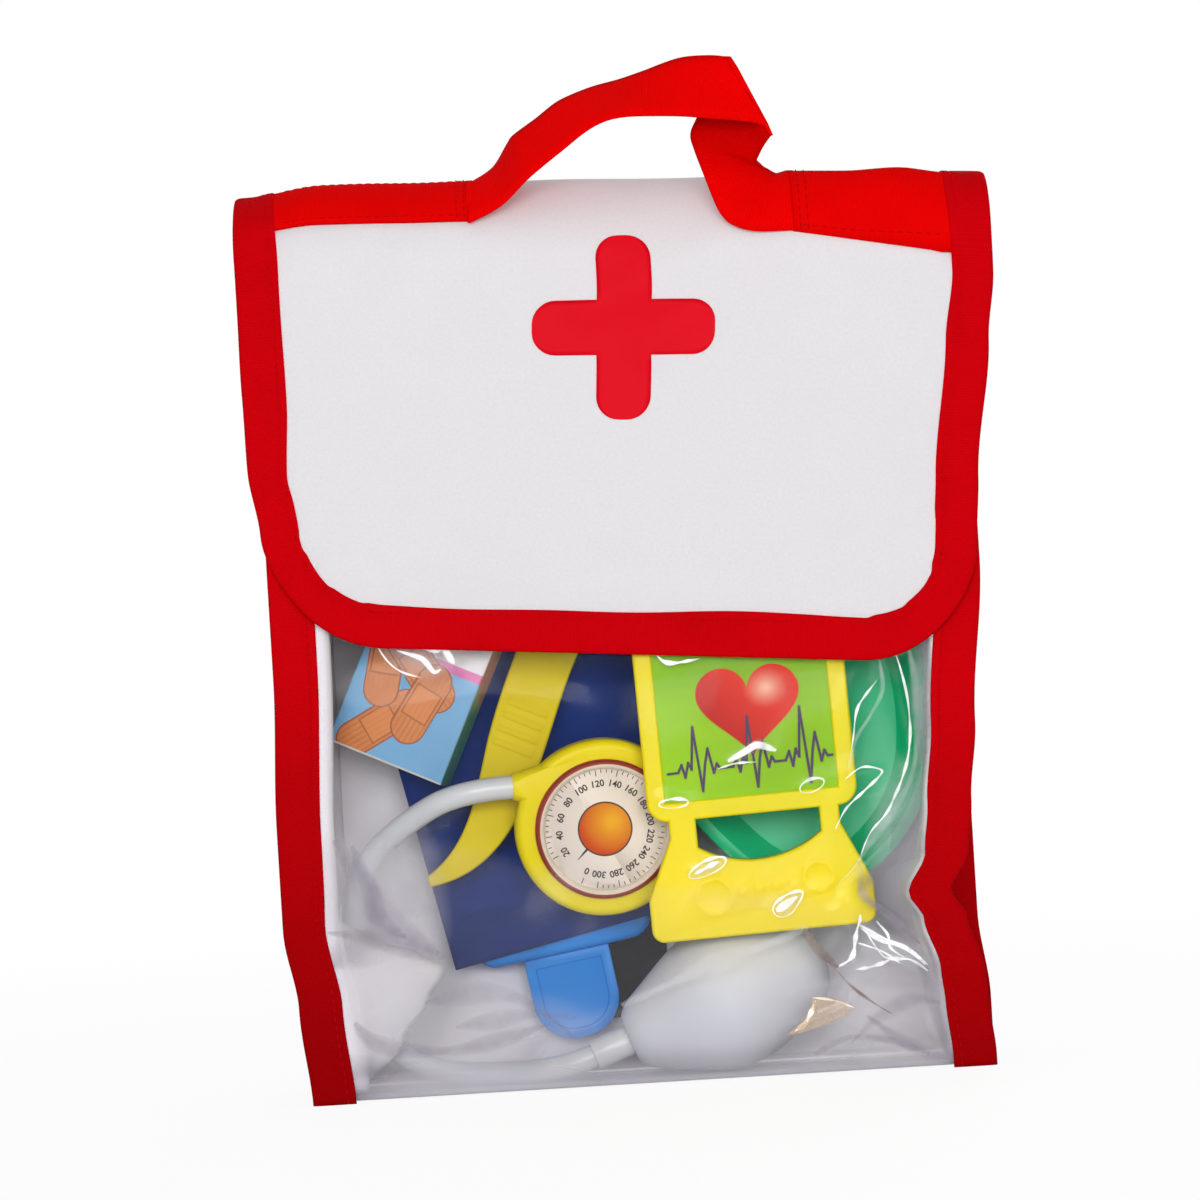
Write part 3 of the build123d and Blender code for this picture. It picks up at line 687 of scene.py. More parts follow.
def clear_film():
    """Clear vinyl: see-through, with soft folds and a glossy face, painted pale reflections low down and in
    patches, and painted shade along wrinkles and at its foot.
    """
    f = Finish("clear vinyl")
    at = f.here()
    x, y, z = f.parts(at)
    slow = f.noise(at, 14.0, 3.0)
    fine = f.noise(at, 160.0, 2.0)
    normal = f.bump(slow + fine * 0.04, 1.6 * MM, 0.6)
    # the edges of soft folds follow a stretched noise
    drawn = f.turned(at, (0.02, 0, 0.03), (0, 0.35, 0), (9.0, 9.0, 26.0))
    wrinkle = f.noise(drawn, 1.0, 2.0, 0.4)
    # painted reflection: a pale milky wash over the lower front
    low = (0.075 - x * 0.2 - z + (slow - 0.5) * 0.02).ramp(0.0, 0.006)
    # painted shade: the film is greyer and milkier at its foot and floor
    foot = (0.0105 - z).ramp(0.0, 0.007)
    bottom = (0.0035 - z).ramp(0.0, 0.002)
    # painted shade along soft wrinkle lines at the lower left and lower right
    dark = (wrinkle - 0.47).ramp(0.0, 0.035) * (0.56 - wrinkle).ramp(0.0, 0.04) * (0.095 - z).ramp(0.0, 0.02)
    dark = dark * ((-0.03 - x).ramp(0.0, 0.012) + (x - 0.072).ramp(0.0, 0.01))
    clear, painted_shade_tint = f.clear((0.99, 0.99, 0.992, 1)), f.clear(tone(176, 168, 184))
    through = f.mixed(dark * 0.4 + bottom * 0.6, clear, painted_shade_tint)
    gloss = f.add("ShaderNodeBsdfGlossy", {}, {"Color": (1, 1, 1, 1), "Roughness": 0.09, "Normal": normal})
    milky_reflection = f.add("ShaderNodeBsdfDiffuse", {}, {"Color": tone(228, 225, 233)})
    edge = f.add("ShaderNodeFresnel", {}, {"IOR": 1.45, "Normal": normal})
    shine = f.mixed((edge * 1.1 - 0.031).most(0.0).least(1.0), through, gloss)
    swirl = (f.noise(drawn, 0.55, 1.0) - 0.5).ramp(0.0, 0.03)
    haziness_and_painted_reflection = slow.ramp(0.4, 0.85) * 0.02 + low * (swirl * 0.06 + 0.045) + foot * 0.25 + bottom * 0.3
    for px, pz, wide, high, strong in PAINTED_REFLECTION_PATCHES:
        a, b = (x - px) / wide, (z - pz) / high
        haziness_and_painted_reflection = haziness_and_painted_reflection + (1.0 - a * a - b * b + (slow - 0.5) * 0.8).ramp(0.0, 0.9) * strong
    return f.done(f.mixed(haziness_and_painted_reflection, shine, milky_reflection))


def painted_mark_film(word, colour, strength, hard):
    """A painted highlight, reflection or shade on the film, which fades towards both of its edges."""
    f = Finish(f"creased vinyl {word}")
    across = f.parts(f.cut())[1]
    # painted light: the marks glow a little
    light = f.surface(tone(*colour), 0.25, Emission_Color=tone(*colour), Emission_Strength=0.12)
    soft = (1.0 - across * across).ramp(0.0, hard)
    patchy = f.noise(f.here(), 240.0).ramp(0.2, 0.62) * 0.5 + 0.5
    return f.done(f.mixed(soft * patchy * strength, f.clear((1, 1, 1, 1)), light))


# ---------------------------------------------------------------- back and sides

back_waves = waves(21, 6, 150, 60)


def back_skin(depth):
    """A face of the back cloth, in from its outer face."""
    def at(x, z):
        ease = back_waves(x, z) * 0.5 * smooth((118 - abs(x)) / 25)
        return pouch(x, BACK - depth + ease, z)

    return at


back_grid = steps(-CLOTH_HALF, CLOTH_HALF, 4), steps(1.2, 288.6, 4)
back_sheet = two_skins("back_sheet", *back_grid, back_skin(0.05), back_skin(FABRIC))
finish_piece(back_sheet, lifted_pouch_cloth, None, ["back_panel"])
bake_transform(back_sheet)


def back_surface(x, z, lift):
    return pouch(x, BACK + lift, z)


SIDES = ((-1, "left"), (1, "right"))
for side, word in SIDES:
    edge = [(side * SEAM, z) for z in steps(0.2, HINGE, 3)][::side]
    tape = wrapped_tape(f"back_binding_tape_{word}", edge, back_surface, TAPE, FABRIC + 0.8)
    finish_piece(tape, red_tape, "pouch", [f"back_binding_{word}"])

# the side cloth, from the front seam round to the back seam
SIDE_LINE = [
    (-119, -27.6), (-111, -27.6), (-105.4, -27.4), (-103.2, -25.8), (-104.0, -21.5), (-106.6, -16),
    (-109.0, -9), (-109.9, 0), (-109.9, 10), (-109.2, 18), (-106.4, 23.6), (-106.6, 25.8),
    (-112, 26.4), (-118, 26.4),
]
side_waves = waves(31, 6, 90, 34)
# how deep each side's fold goes in: (height, depth)
FOLD_DEPTH = {
    -1: [(2, 0), (20, 19), (34, 30), (45, 38), (50, 31), (57, 12), (66, 0)],
    1: [(2, 0), (14, 8), (24, 7), (36, 4), (60, 2), (110, 0)],
}
FOLD_AT = -15.0  # the fold's place between front and back
FOLD_WIDE = 6.5
FLANGE_EDGE = -108.2
FILM_ROUND = 7.75  # the rounding at the clear front's foot
FILM_FOOT = 8.1  # the height where it begins


def side_skin(side, inset):
    """One face of a side cloth by how far along its line and how high; also the line's length."""
    line = spline(SIDE_LINE, 5)
    lengths = runs(line)

    def at(run, z):
        run = clamp(run, 0, lengths[-1])
        index = min(sum(length <= run + 1e-9 for length in lengths), len(line) - 1) - 1
        (ax, ay), (bx, by) = line[index : index + 2]
        size = math.dist(line[index], line[index + 1])
        t = (run - lengths[index]) / size
        x, y = lerp(ax, bx, t), lerp(ay, by, t)
        fold = table(FOLD_DEPTH[side], z) * math.exp(-(((y - FOLD_AT) / FOLD_WIDE) ** 2)) if y > -26.5 else 0.0
        ease = side_waves(y, z) * 0.9 * smooth((y + 26) / 10) * smooth((24 - y) / 8)
        if side > 0 and x > FLANGE_EDGE:
            # the right front flange is narrower, so that it stays behind its tape
            x = FLANGE_EDGE + (x - FLANGE_EDGE) * lerp(0.35, 1, smooth((y + 22) / 8))
        x += (by - ay) / size * inset + fold + ease
        y -= (bx - ax) / size * inset
        top = lerp(MOUTH - 1, HINGE - 2.5, smooth((y + 26) / 50))
        # behind the mouth tape's ends and the clear front's rounded foot
        y += 1.3 * smooth((z - 247) / 3) * smooth((109 + x) / 1.2) * smooth((-20 - y) / 4)
        if z < FILM_FOOT:
            y += 8 * (1 - math.sqrt(1 - ((FILM_FOOT - z) / FILM_ROUND) ** 2)) * smooth((-18 - y) / 8)
        return pouch(x if side < 0 else -x, y, min(z, top))

    return at, lengths[-1]


for side, word in SIDES:
    skin, total = side_skin(side, 0.0)
    under, _ = side_skin(side, -0.8)
    sheet = two_skins(f"side_cloth_{word}", steps(0, total, 1.7), steps(0.9, 284, 3), skin, under)
    finish_piece(sheet, lifted_pouch_cloth, "pouch", [f"side_gusset_{word}"])

# ---------------------------------------------------------------- clear front

# raised creases of the clear front, each from one (x, height) to another
CREASES = [
    (82.9, 151.3, 73.8, 116.8), (77.9, 109.5, 74.2, 95.7), (81.7, 103.0, 90.6, 106.0),
    (93.4, 150.7, 101.3, 108.1), (101.3, 108.1, 92.4, 77.1), (92.4, 77.1, 82.6, 60.2),
    (75.3, 55.4, 95.0, 62.9), (69.1, 40.0, 82.2, 53.2), (75.9, 37.8, 102.4, 39.7),
    (50.1, 15.9, 76.2, 25.5), (50.7, 27.1, 77.9, 28.9), (102.9, 48.4, 89.5, 58.0),
    (81.3, 39.2, 73.2, 22.2), (-87.3, 160.7, -80.0, 154.3), (-79.9, 156.0, -64.5, 149.1),
    (38.3, 110.2, 52.7, 116.3), (62.2, 100.0, 71.3, 104.3), (12.1, 100.6, 23.5, 97.1),
    (22.7, 73.0, 37.4, 77.7), (55.4, 57.6, 68.8, 64.5),
]
# painted highlights, reflections and shade on the film, in millimetres: (width, line) or (None, outline) for a
# whole patch
GLINTS = {
    # painted highlights
    "white": [
        (1.3, [(-87.3, 160.7), (-85.1, 156.7), (-82.5, 153.2), (-78.5, 150.1), (-71.6, 147.6)]),
        (3.4, [(-80.1, 157.7), (-75.4, 156.0), (-70.9, 154.0), (-67.3, 149.5), (-64.8, 150.2)]),
        (3.2, [(-63.5, 157.7), (-62.1, 154.9), (-60.1, 152.0)]),
        (2.6, [(-78.0, 163.0), (-72.0, 158.5), (-66.0, 157.0), (-58.0, 158.5)]),
        (7.5, [(36.4, 112.0), (42.5, 115.2), (46.8, 117.1), (53.3, 114.8)]),
        (1.2, [(33.0, 109.6), (39.4, 111.2), (46.3, 111.2)]),
        (2.2, [(10.9, 150.6), (13.6, 148.1), (17.8, 147.4), (25.8, 148.4)]),
        (1.4, [(88.8, 136.9), (84.5, 131.5), (81.8, 126.5), (80.0, 114.1)]),
        (1.5, [
            (93.5, 149.1), (96.9, 141.1), (100.2, 128.4), (100.4, 112.8), (98.6, 102.0), (93.8, 91.4),
            (87.9, 84.0), (84.0, 73.5),
        ]),
        (1.5, [
            (78.4, 103.2), (84.1, 107.1), (90.9, 105.8), (90.3, 103.3), (84.6, 98.1), (78.6, 92.6), (75.2, 86.0),
        ]),
        (2.2, [(85.9, 55.7), (81.8, 48.1), (77.5, 41.2), (71.6, 38.1)]),
        (2.4, [(84.4, 52.1), (90.4, 47.6), (97.9, 42.9), (103.4, 36.7)]),
        (2.0, [(86.1, 50.4), (87.7, 42.8), (89.9, 39.9), (97.6, 38.9), (103.3, 34.4)]),
        (2.0, [(90.7, 53.0), (93.5, 48.2), (92.5, 43.3), (96.1, 39.5)]),
        (2.6, [(84.4, 51.1), (90.3, 46.1), (97.9, 42.9), (102.5, 36.7)]),
        (1.6, [(81.7, 45.8), (88.5, 42.6), (93.7, 37.9)]),
        (2.0, [(77.2, 36.7), (85.1, 37.7), (91.5, 39.8)]),
        (2.6, [(25.4, 73.4), (29.4, 75.4), (33.8, 77.3)]),
        (3.2, [(57.6, 58.6), (62.0, 61.0), (66.6, 63.4)]),
        (1.4, [(-110.3, 143.1), (-110.1, 138.0)]),
        (1.2, [(-111.2, 135.6), (-111.1, 132.3)]),
    ],
    "haze": [
        (5.5, [
            (98.8, 150.2), (102.8, 135.0), (103.4, 117.4), (101.7, 101.9), (94.7, 89.9), (86.2, 77.9),
            (80.3, 65.9),
        ]),
        (3.5, [(89.3, 144.7), (91.0, 133.7), (86.5, 124.6), (81.4, 117.1), (79.2, 106.4)]),
        (6.5, [(-102.0, 70.0), (-103.5, 48.0), (-103.0, 26.0)]),
        (9.0, [(-7.8, 29.1), (8.7, 35.0), (29.4, 42.0), (49.9, 47.5), (65.4, 52.4)]),
        (None, [
            (83.0, 57.1), (90.6, 52.2), (99.6, 45.7), (105.5, 37.9), (100.0, 33.0), (89.9, 37.9),
            (83.6, 35.9), (75.2, 35.4), (80.5, 42.7), (84.0, 49.9),
        ]),
        (None, [
            (-89.0, 163.5), (-86.0, 155.0), (-78.0, 149.0), (-66.0, 146.5), (-58.0, 151.0), (-56.0, 160.0),
            (-70.0, 166.0),
        ]),
        (None, [(22.0, 73.0), (27.0, 78.0), (34.0, 79.2), (37.5, 76.8), (33.0, 73.0), (26.0, 71.6)]),
        (None, [(55.4, 57.0), (59.0, 62.0), (66.0, 65.8), (69.0, 63.4), (65.0, 58.5), (58.5, 55.6)]),
    ],
    "gold": [
        (None, [
            (60.4, 28.7), (68.9, 27.3), (76.7, 23.2), (68.4, 19.3), (57.3, 15.8), (48.6, 14.8), (54.0, 18.6),
            (58.4, 23.2),
        ]),
        (2.0, [(51.0, 15.6), (56.5, 18.0), (59.6, 22.4), (61.6, 27.2)]),
    ],
    "cream": [
        (2.4, [(52.5, 16.4), (56.8, 19.2), (59.6, 23.2), (61.4, 26.8)]),
        (1.3, [(60.4, 27.9), (67.3, 26.6), (74.7, 23.7)]),
    ],
    "brown": [
        (6.0, [(64.2, 52.0), (66.0, 47.0), (67.6, 42.6), (71.2, 37.8)]),
        (1.6, [(69.8, 37.5), (74.6, 31.5), (81.0, 25.5), (88.0, 20.5)]),
    ],
    "shade": [
        (12.2, [(-103.4, 92.9), (-94.8, 77.9), (-87.7, 66.5), (-76.4, 56.8), (-69.1, 50.9)]),
        (8.1, [(-97.4, 90.4), (-91.8, 76.1), (-88.4, 65.1), (-79.0, 57.4)]),
        (9.5, [(-104.3, 28.5), (-96.7, 20.4), (-75.2, 16.9), (-56.3, 18.9), (-34.4, 24.4)]),
        (10.8, [(-78.1, 34.0), (-58.5, 36.4), (-43.0, 33.2), (-26.2, 18.8)]),
        (8.1, [(-68.1, 25.0), (-54.5, 26.4), (-40.0, 28.2), (-25.2, 25.8)]),
        (10.8, [(-107.4, 60.5), (-88.5, 57.1), (-67.2, 49.8)]),
        (6.8, [(79.0, 20.4), (88.4, 12.1), (96.9, 7.0), (105.6, 3.2)]),
        (6.1, [(58.4, 7.8), (70.4, 12.8), (84.0, 11.7), (99.6, 5.6)]),
        (8.1, [(84.0, 74.5), (92.0, 61.0), (98.0, 53.5), (103.5, 44.0)]),
        (6.8, [(72.0, 11.0), (84.0, 20.0), (97.0, 25.0), (106.0, 23.0)]),
        (12.2, [
            (106.0, 152.0), (106.0, 122.0), (104.5, 96.0), (95.0, 78.0), (91.0, 64.0), (99.0, 48.0),
            (104.0, 20.0), (107.0, 2.0),
        ]),
        (12.2, [(104.0, 156.0), (105.5, 132.0), (105.0, 106.0)]),
    ],
}
# their colour, strength, and how hard their edges are
GLINT_LOOK = {
    "white": ((250, 251, 253), 0.92, 0.6), "haze": ((224, 224, 230), 0.24, 1.0),
    "gold": ((206, 178, 150), 0.6, 0.35), "cream": ((252, 240, 222), 0.9, 0.5),
    "brown": ((118, 96, 88), 0.75, 0.8), "shade": ((138, 130, 146), 0.32, 1.0),
}
# small oval glints: middle, half length, half width and lean
GLINT_RINGS = [
    (29.9, 75.3, 7.0, 2.6, 21.5), (62.3, 60.9, 7.0, 2.8, 31.5), (66.7, 101.8, 4.4, 2.3, 16.5),
    (17.6, 98.5, 5.2, 1.6, 1.5),
]
film_waves = waves(41, 7, 120, 38)
# the clear front from its mouth edge down, round the foot and along the floor, as (depth, height)
FILM_Y = FRONT + 0.15
FILM_LINE = [(FILM_Y, MOUTH + 0.5)] + [(FILM_Y, z) for z in steps(MOUTH, 8, 2.2)]
for turn in steps(0, math.pi / 2, math.pi / 12)[1:]:
    FILM_LINE.append((FILM_Y + 8 * (1 - math.cos(turn)), FILM_FOOT - FILM_ROUND * math.sin(turn)))
FILM_LINE += [(y, 0.35) for y in steps(-19.5, 26.0, 3)[1:]] + [(26.3, 0.9), (26.4, 3.2)]
UNDER_FLAP = 138  # above this height the flap holds the clear front nearly flat


def film_lift(x, z):
    """How far the clear front stands out from flat."""
    inner = smooth((108 - abs(x)) / 30) * smooth(z / 22)
    below = 1 - smooth((z - UNDER_FLAP) / 16)
    swell = (2.1 + film_waves(x, z) * 0.9) * below + (0.25 + film_waves(x, z) * 0.2) * (1 - below)
    ridges = sum(crease(x, z, ((ax, az), (bx, bz)), 2.2) for ax, az, bx, bz in CREASES) * below
    return swell * inner + ridges * 1.3 * smooth((112 - abs(x)) / 8)


def clear_front():
    columns = steps(-CLOTH_HALF, CLOTH_HALF, 2.6)
    points = [pouch(x, y - (film_lift(x, z) if z > 8 else 0.0), z) for y, z in FILM_LINE for x in columns]
    uvs = [(x, run) for run in runs(FILM_LINE) for x in columns]
    return add_mesh("clear_front", points, grid_faces(len(columns), len(FILM_LINE), True), uvs, False)


film = clear_front()
finish_piece(film, clear_film(), "pouch", ["window_panel"])


def taper(t, closed):
    """A mark's share of its full width, t along it."""
    if closed:
        return 0.6 + 0.4 * math.sin(2 * math.pi * t + 0.6)
    return math.sin(math.pi * clamp(t, 0.03, 0.97)) ** 0.6


def marks(name, lines, stand):
    """Thin tapered marks and small patches of painted highlight, reflection and shade along the clear sheet's
    creases.
    """
    points, faces, uvs = [], [], []

    def put(x, z, u, v):
        points.append(pouch(x, FRONT - film_lift(x, z) - stand, z))
        uvs.append((u / MM, v / MM))

    def patch(outline):
        first = len(points)
        rim = spline(outline + outline[:1], 5)[:-1]
        middle = [sum(p[k] for p in rim) / len(rim) for k in (0, 1)]
        rings = (0.0, 0.35, 0.7, 1.0)
        for share in rings:
            for x, z in rim:
                put(lerp(middle[0], x, share), lerp(middle[1], z, share), 0.5, share)
        n = len(rim)
        for a in range(first, first + (len(rings) - 1) * n, n):
            faces.extend((a + i, a + (i + 1) % n, a + n + (i + 1) % n, a + n + i) for i in range(n))

    def stroke(width, line, closed):
        first, last = len(points), len(line) - 1
        for i, (x, z) in enumerate(line):
            dx, dz = direction(line, i)
            uneven = math.sin(x * 0.9 + z * 0.47) if width < 3 else math.sin(x * 0.13 + z * 0.1)
            half = width * 0.5 * taper(i / last, closed) * (0.7 + 0.3 * uneven)
            for side in (-1, 1):
                put(x - dz * half * side, z + dx * half * side, i / last, side)
        faces.extend((a, a + 1, a + 3, a + 2) for a in range(first, first + 2 * last, 2))

    for width, corners, closed in lines:
        if width is None:
            patch(corners)
        else:
            stroke(width, corners if closed else spline(corners, 6), closed)
    return add_mesh(name, points, faces, uvs, False)


def ring_line(x, z, a, b, lean):
    """A leaning oval's outline."""
    c, s = math.cos(math.radians(lean)), math.sin(math.radians(lean))
    turns = [2 * math.pi * i / 30 for i in range(31)]
    oval = [(a * math.cos(t), b * math.sin(t)) for t in turns]
    return [(x + u * c - v * s, z + u * s + v * c) for u, v in oval]


for number, (word, (colour, strength, hard)) in enumerate(GLINT_LOOK.items()):
    lines = [(width, line, False) for width, line in GLINTS[word]]
    if word == "white":
        lines += [(1.7, ring_line(*ring), True) for ring in GLINT_RINGS]
    glints = marks(f"clear_front_painted_marks_{word}", lines, 0.1 + 0.03 * number)
    finish_piece(glints, painted_mark_film(word, colour, strength, hard), "pouch")


def front_surface(x, z, lift):
    return pouch(x, FRONT - lift, z)


for side, word in SIDES:
    edge = [(side * SEAM, z) for z in steps(0.2, 262.9, 3)][::side]
    tape = wrapped_tape(f"front_binding_tape_{word}", edge, front_surface, TAPE, 0.9)
    finish_piece(tape, red_tape, "pouch", [f"front_binding_{word}"])

mouth_edge = [(x, MOUTH + 0.6) for x in steps(107.4, -107.4, 3)]
mouth_tape = wrapped_tape("window_top_tape", mouth_edge, front_surface, 10.6, 0.7, 0.7)
finish_piece(mouth_tape, red_tape, "pouch", ["window_top_binding"])

# ---------------------------------------------------------------- flap


def run_at_height(x, height):
    """How far along the flap its front face comes down to a height."""
    low, high = FOLD_R * 2.0, FOLD_R * 3.6
    for _ in range(18):
        middle = (low + high) / 2
        low, high = (middle, high) if flap_at(x, middle, 1.2)[2] > height else (low, middle)
    return (low + high) / 2


# the webbing's front edge: level on the left, and a straight line that falls to the right from SLANT_X
SLANT_X = 45
SLANT_STEP = 5
STRAP_FIRST = FOLD_R * math.radians(150.5)
STRAP_LINE = [(x, run_at_height(x, 299.2 - (x - SLANT_X) * 0.206)) for x in steps(SLANT_X, 125, SLANT_STEP)]


def strap_run(x, share):
    """How far along the flap the webbing's back edge (0) or front edge (1) is."""
    back = FOLD_R * math.radians(lerp(103.5, 124, smooth((x - 20) / 90)) - 6 * smooth((x - 82) / 18))
    if x <= SLANT_X:
        front = lerp(STRAP_FIRST, STRAP_LINE[0][1], smooth((x - 20) / 25))
    else:
        i = min(int((x - SLANT_X) / SLANT_STEP), len(STRAP_LINE) - 2)
        (xa, ra), (xb, rb) = STRAP_LINE[i : i + 2]
        front = lerp(ra, rb, clamp((x - xa) / (xb - xa)))
    return lerp(back, front, share)


FLAP_INSET = 1.6  # of the cloth's edge inside the binding's fold
flap_rows = steps(1.2, FLAP_END - 42, 4)
flap_rows += [FLAP_END - 40 + 38.4 * math.sin(math.pi / 2 * i / 12) for i in range(13)]


def flap_skin(depth):
    """A face of the flap's cloth, in from its outer face."""
    return lambda share, run: flap_at(share * flap_reach(run, FLAP_INSET), run, -depth)


def flap_cut(share, run):
    """The same place on the flat cloth."""
    return share * flap_reach(run, FLAP_INSET), run


flap_columns = steps(-1, 1, 1 / 34)
flap_sheet = two_skins("flap_sheet", flap_columns, flap_rows, flap_skin(0.05), flap_skin(FABRIC), flap_cut)
finish_piece(flap_sheet, white_cloth, "flap", ["flap_panel"])

flap_corners = [(FLAP_TOP_HALF, 0.6, 0), (FLAP_TOP_HALF, ARC, 900), (FLAP_LOW_HALF, FLAP_END, FLAP_CORNER)]
flap_path = rounded_path(flap_corners + [(-x, run, radius) for x, run, radius in flap_corners[::-1]], 2.4)
flap_length = runs(flap_path)[-1]
PUCKERS = (FLAP_END - 30, flap_length - FLAP_END + 30)
TUCKS = [FLAP_END - 62, FLAP_END - 36, FLAP_END - 4, FLAP_END + 24]
TUCK_LENGTH = 26


def flap_tape_width(share):
    """A little narrower and wider, with a soft step at each tuck round the corners."""
    along = share * flap_length
    width = 14.2 + 0.45 * math.sin(along / 21) + 0.3 * math.sin(along / 9.5 + 1)
    for tuck in TUCKS + [flap_length - t for t in TUCKS]:
        past = along - tuck
        if 0 <= past < TUCK_LENGTH:
            width -= 0.8 * (1 - past / TUCK_LENGTH) * smooth(past / 7)
    return width


def pucker(along, w, number):
    """The tape gathers round the flap's lower corners and rides over the webbing's ends."""
    near = max(math.exp(-(((along - c) / 30) ** 2)) for c in PUCKERS)
    face = 1.0 if number < FRONT_POINTS - 2 else 0.4
    gather = near * face * 0.36 * math.sin(along * 0.62 + w * 0.2 + math.sin(along * 0.21) * 2) * smooth(w / 6)
    if number >= FRONT_POINTS - 3:
        return gather
    side = 1 if along < flap_length / 2 else -1
    run = along if side > 0 else flap_length - along
    low, high = strap_run(side * 120, 0), strap_run(side * 120, 1)
    over = smooth((run - low + 3) / 4) * smooth((high + 3 - run) / 4)
    return gather + over * 1.75 * smooth((w - 4) / 7)


flap_tape = wrapped_tape("flap_binding_tape", flap_path, flap_at, flap_tape_width, FABRIC, 0.78, pucker)
finish_piece(flap_tape, red_tape, "flap", ["flap_binding"])

# the plus sign: a middle square and four arms with rounded ends
SIGN_X = 3.4
SIGN_RUN = 117.6  # its middle, along the flap
SIGN_REACH = 31.75  # from its middle to an arm's end
SIGN_HALF = 9.5  # half an arm's width
SIGN_ROUND = 8.0


def plus_sign():
    points, faces = [], []
    across = steps(-1, 1, 0.2)
    straight_end = SIGN_REACH - SIGN_ROUND

    def patch(rows, at):
        first = len(points)
        for row in rows:
            for share in across:
                a, b = at(row, share)
                points.append(flap_at(SIGN_X + a, SIGN_RUN + b, 0.22))
        faces.extend(grid_faces(len(across), len(rows), True, first))

    def half(out):
        over = max(out - straight_end, 0)
        return SIGN_HALF - SIGN_ROUND + math.sqrt(max(SIGN_ROUND**2 - over**2, 0))

    patch(steps(-SIGN_HALF, SIGN_HALF, 1.9), lambda row, share: (share * SIGN_HALF, row))
    arm = steps(SIGN_HALF, straight_end, 2.4)
    arm += [straight_end + SIGN_ROUND * math.sin(math.pi / 2 * i / 8) for i in range(1, 9)]
    for c, d in ((0, 1), (1, 0), (0, -1), (-1, 0)):
        patch(arm, lambda out, share: (c * out + d * share * half(out), d * out - c * share * half(out)))
    piece = add_mesh("plus_sign", points, faces, None, False)
    with reworked(piece.data) as work:
        bmesh.ops.remove_doubles(work, verts=work.verts, dist=2e-5)
        bmesh.ops.recalc_face_normals(work, faces=work.faces)
        if sum(face.normal.y * face.calc_area() for face in work.faces) > 0:
            bmesh.ops.reverse_faces(work, faces=work.faces)
    skin = piece.modifiers.new("thickness", "SOLIDIFY")
    skin.thickness = 0.25 * MM
    skin.offset = -1
    return settle(piece)


finish_piece(plus_sign(), sign_print, "flap", ["plus_print"])

# ---------------------------------------------------------------- webbing


def strap_skin(lift, crown):
    """A face of the webbing that is sewn down, with its middle a little higher than its edges."""
    def at(x, share):
        edge = min(share, 1 - share) * WEBBING
        return flap_at(x, strap_run(x, share), lift + crown * smooth(edge / 2.0))

    return at


for word, low, high in (("left", -118.5, -47.5), ("right", 62.5, 118.5)):
    outer, under = strap_skin(1.5, 0.5), strap_skin(0.1, 0)
    grid = steps(low, high, 3), steps(0, 1, 1 / 12)
    strap = two_skins(f"strap_{word}", *grid, outer, under, lambda x, share: (x, share * WEBBING))
    finish_piece(strap, red_webbing, "flap", [f"strap_end_{word}"])

# the loop from left to right: its back edge's (x, y, z), then its front edge's
RIBBON = [
    (-44.4, -10.5, 321.5, -46.0, -30.8, 305.6), (-37, -12.5, 325.8, -35, -33.5, 310.5),
    (-31.4, -18.7, 333.2, -25.3, -39.3, 318.5), (-29.1, -21.9, 335.7, -19.3, -42.1, 322.8),
    (-20.9, -25.7, 340.6, -12.4, -46.3, 327.3), (-13.9, -28.7, 345.2, -5.6, -49.3, 331.9),
    (-8, -30.4, 347.6, -0.5, -51.6, 334.6), (-0.4, -32.2, 349.8, 4.5, -53.8, 336.1),
    (8.8, -34.3, 351.5, 10.2, -55.7, 336.6), (17.1, -37.1, 353.5, 17.5, -56.9, 336.3),
    (29.6, -41.4, 356.8, 28.8, -56.6, 335.5), (39.4, -43.7, 357.0, 37.7, -56.3, 334.3),
    (45.9, -47.5, 356.0, 55.3, -53.5, 331.7), (47.2, -50.4, 355.0, 59.9, -51.5, 327.7),
    (46.6, -46, 354.9, 59.4, -47.5, 327.2), (40.3, -43, 344.9, 57.6, -42.5, 325.0),
    (34.4, -41.5, 335.1, 56.2, -38, 322.7), (32.4, -40.5, 330.2, 55.2, -34, 321.0),
    (33.6, -39.2, 324.9, 55.4, -29.5, 320.6), (36.3, -37.6, 316.7, 56.6, -25, 320.2),
    (39.0, -36.2, 308.6, 58.2, -21.5, 319.4), (41.6, -35.2, 302.6, 59.8, -19.2, 318.4),
    (45.4, -34.4, 298.8, 61.2, -17.8, 317.5), (53.0, -34.0, 296.2, 62.6, -17.2, 317.0),
]


def ribbon_stations():
    """The loop's edges, with both of its feet on the webbing that is sewn down."""
    foot = [flap_at(x, strap_run(x, 0), 1.2) + flap_at(x, strap_run(x, 1), 1.2) for x in (-49.5, -47.5)]
    end = [flap_at(x, strap_run(x, 1), 1.2) + flap_at(x, strap_run(x, 0), 1.2) for x in (62.0, 64.5)]
    return foot + RIBBON + end


# how far the loop's middle bows out between its edges, to lie over the rounded fold
RIBBON_BOW = [1.0, 1.0, 0.75, 0.4, 0.15] + [0.0] * 15 + [0.1, 0.35, 0.6, 0.8, 0.95, 1.0, 1.0, 1.0]
BOW_HEIGHT = 13.5
BOW_WAY = Vector((0, -0.62, 0.78))
RIBBON_HALF_THICK = 0.85


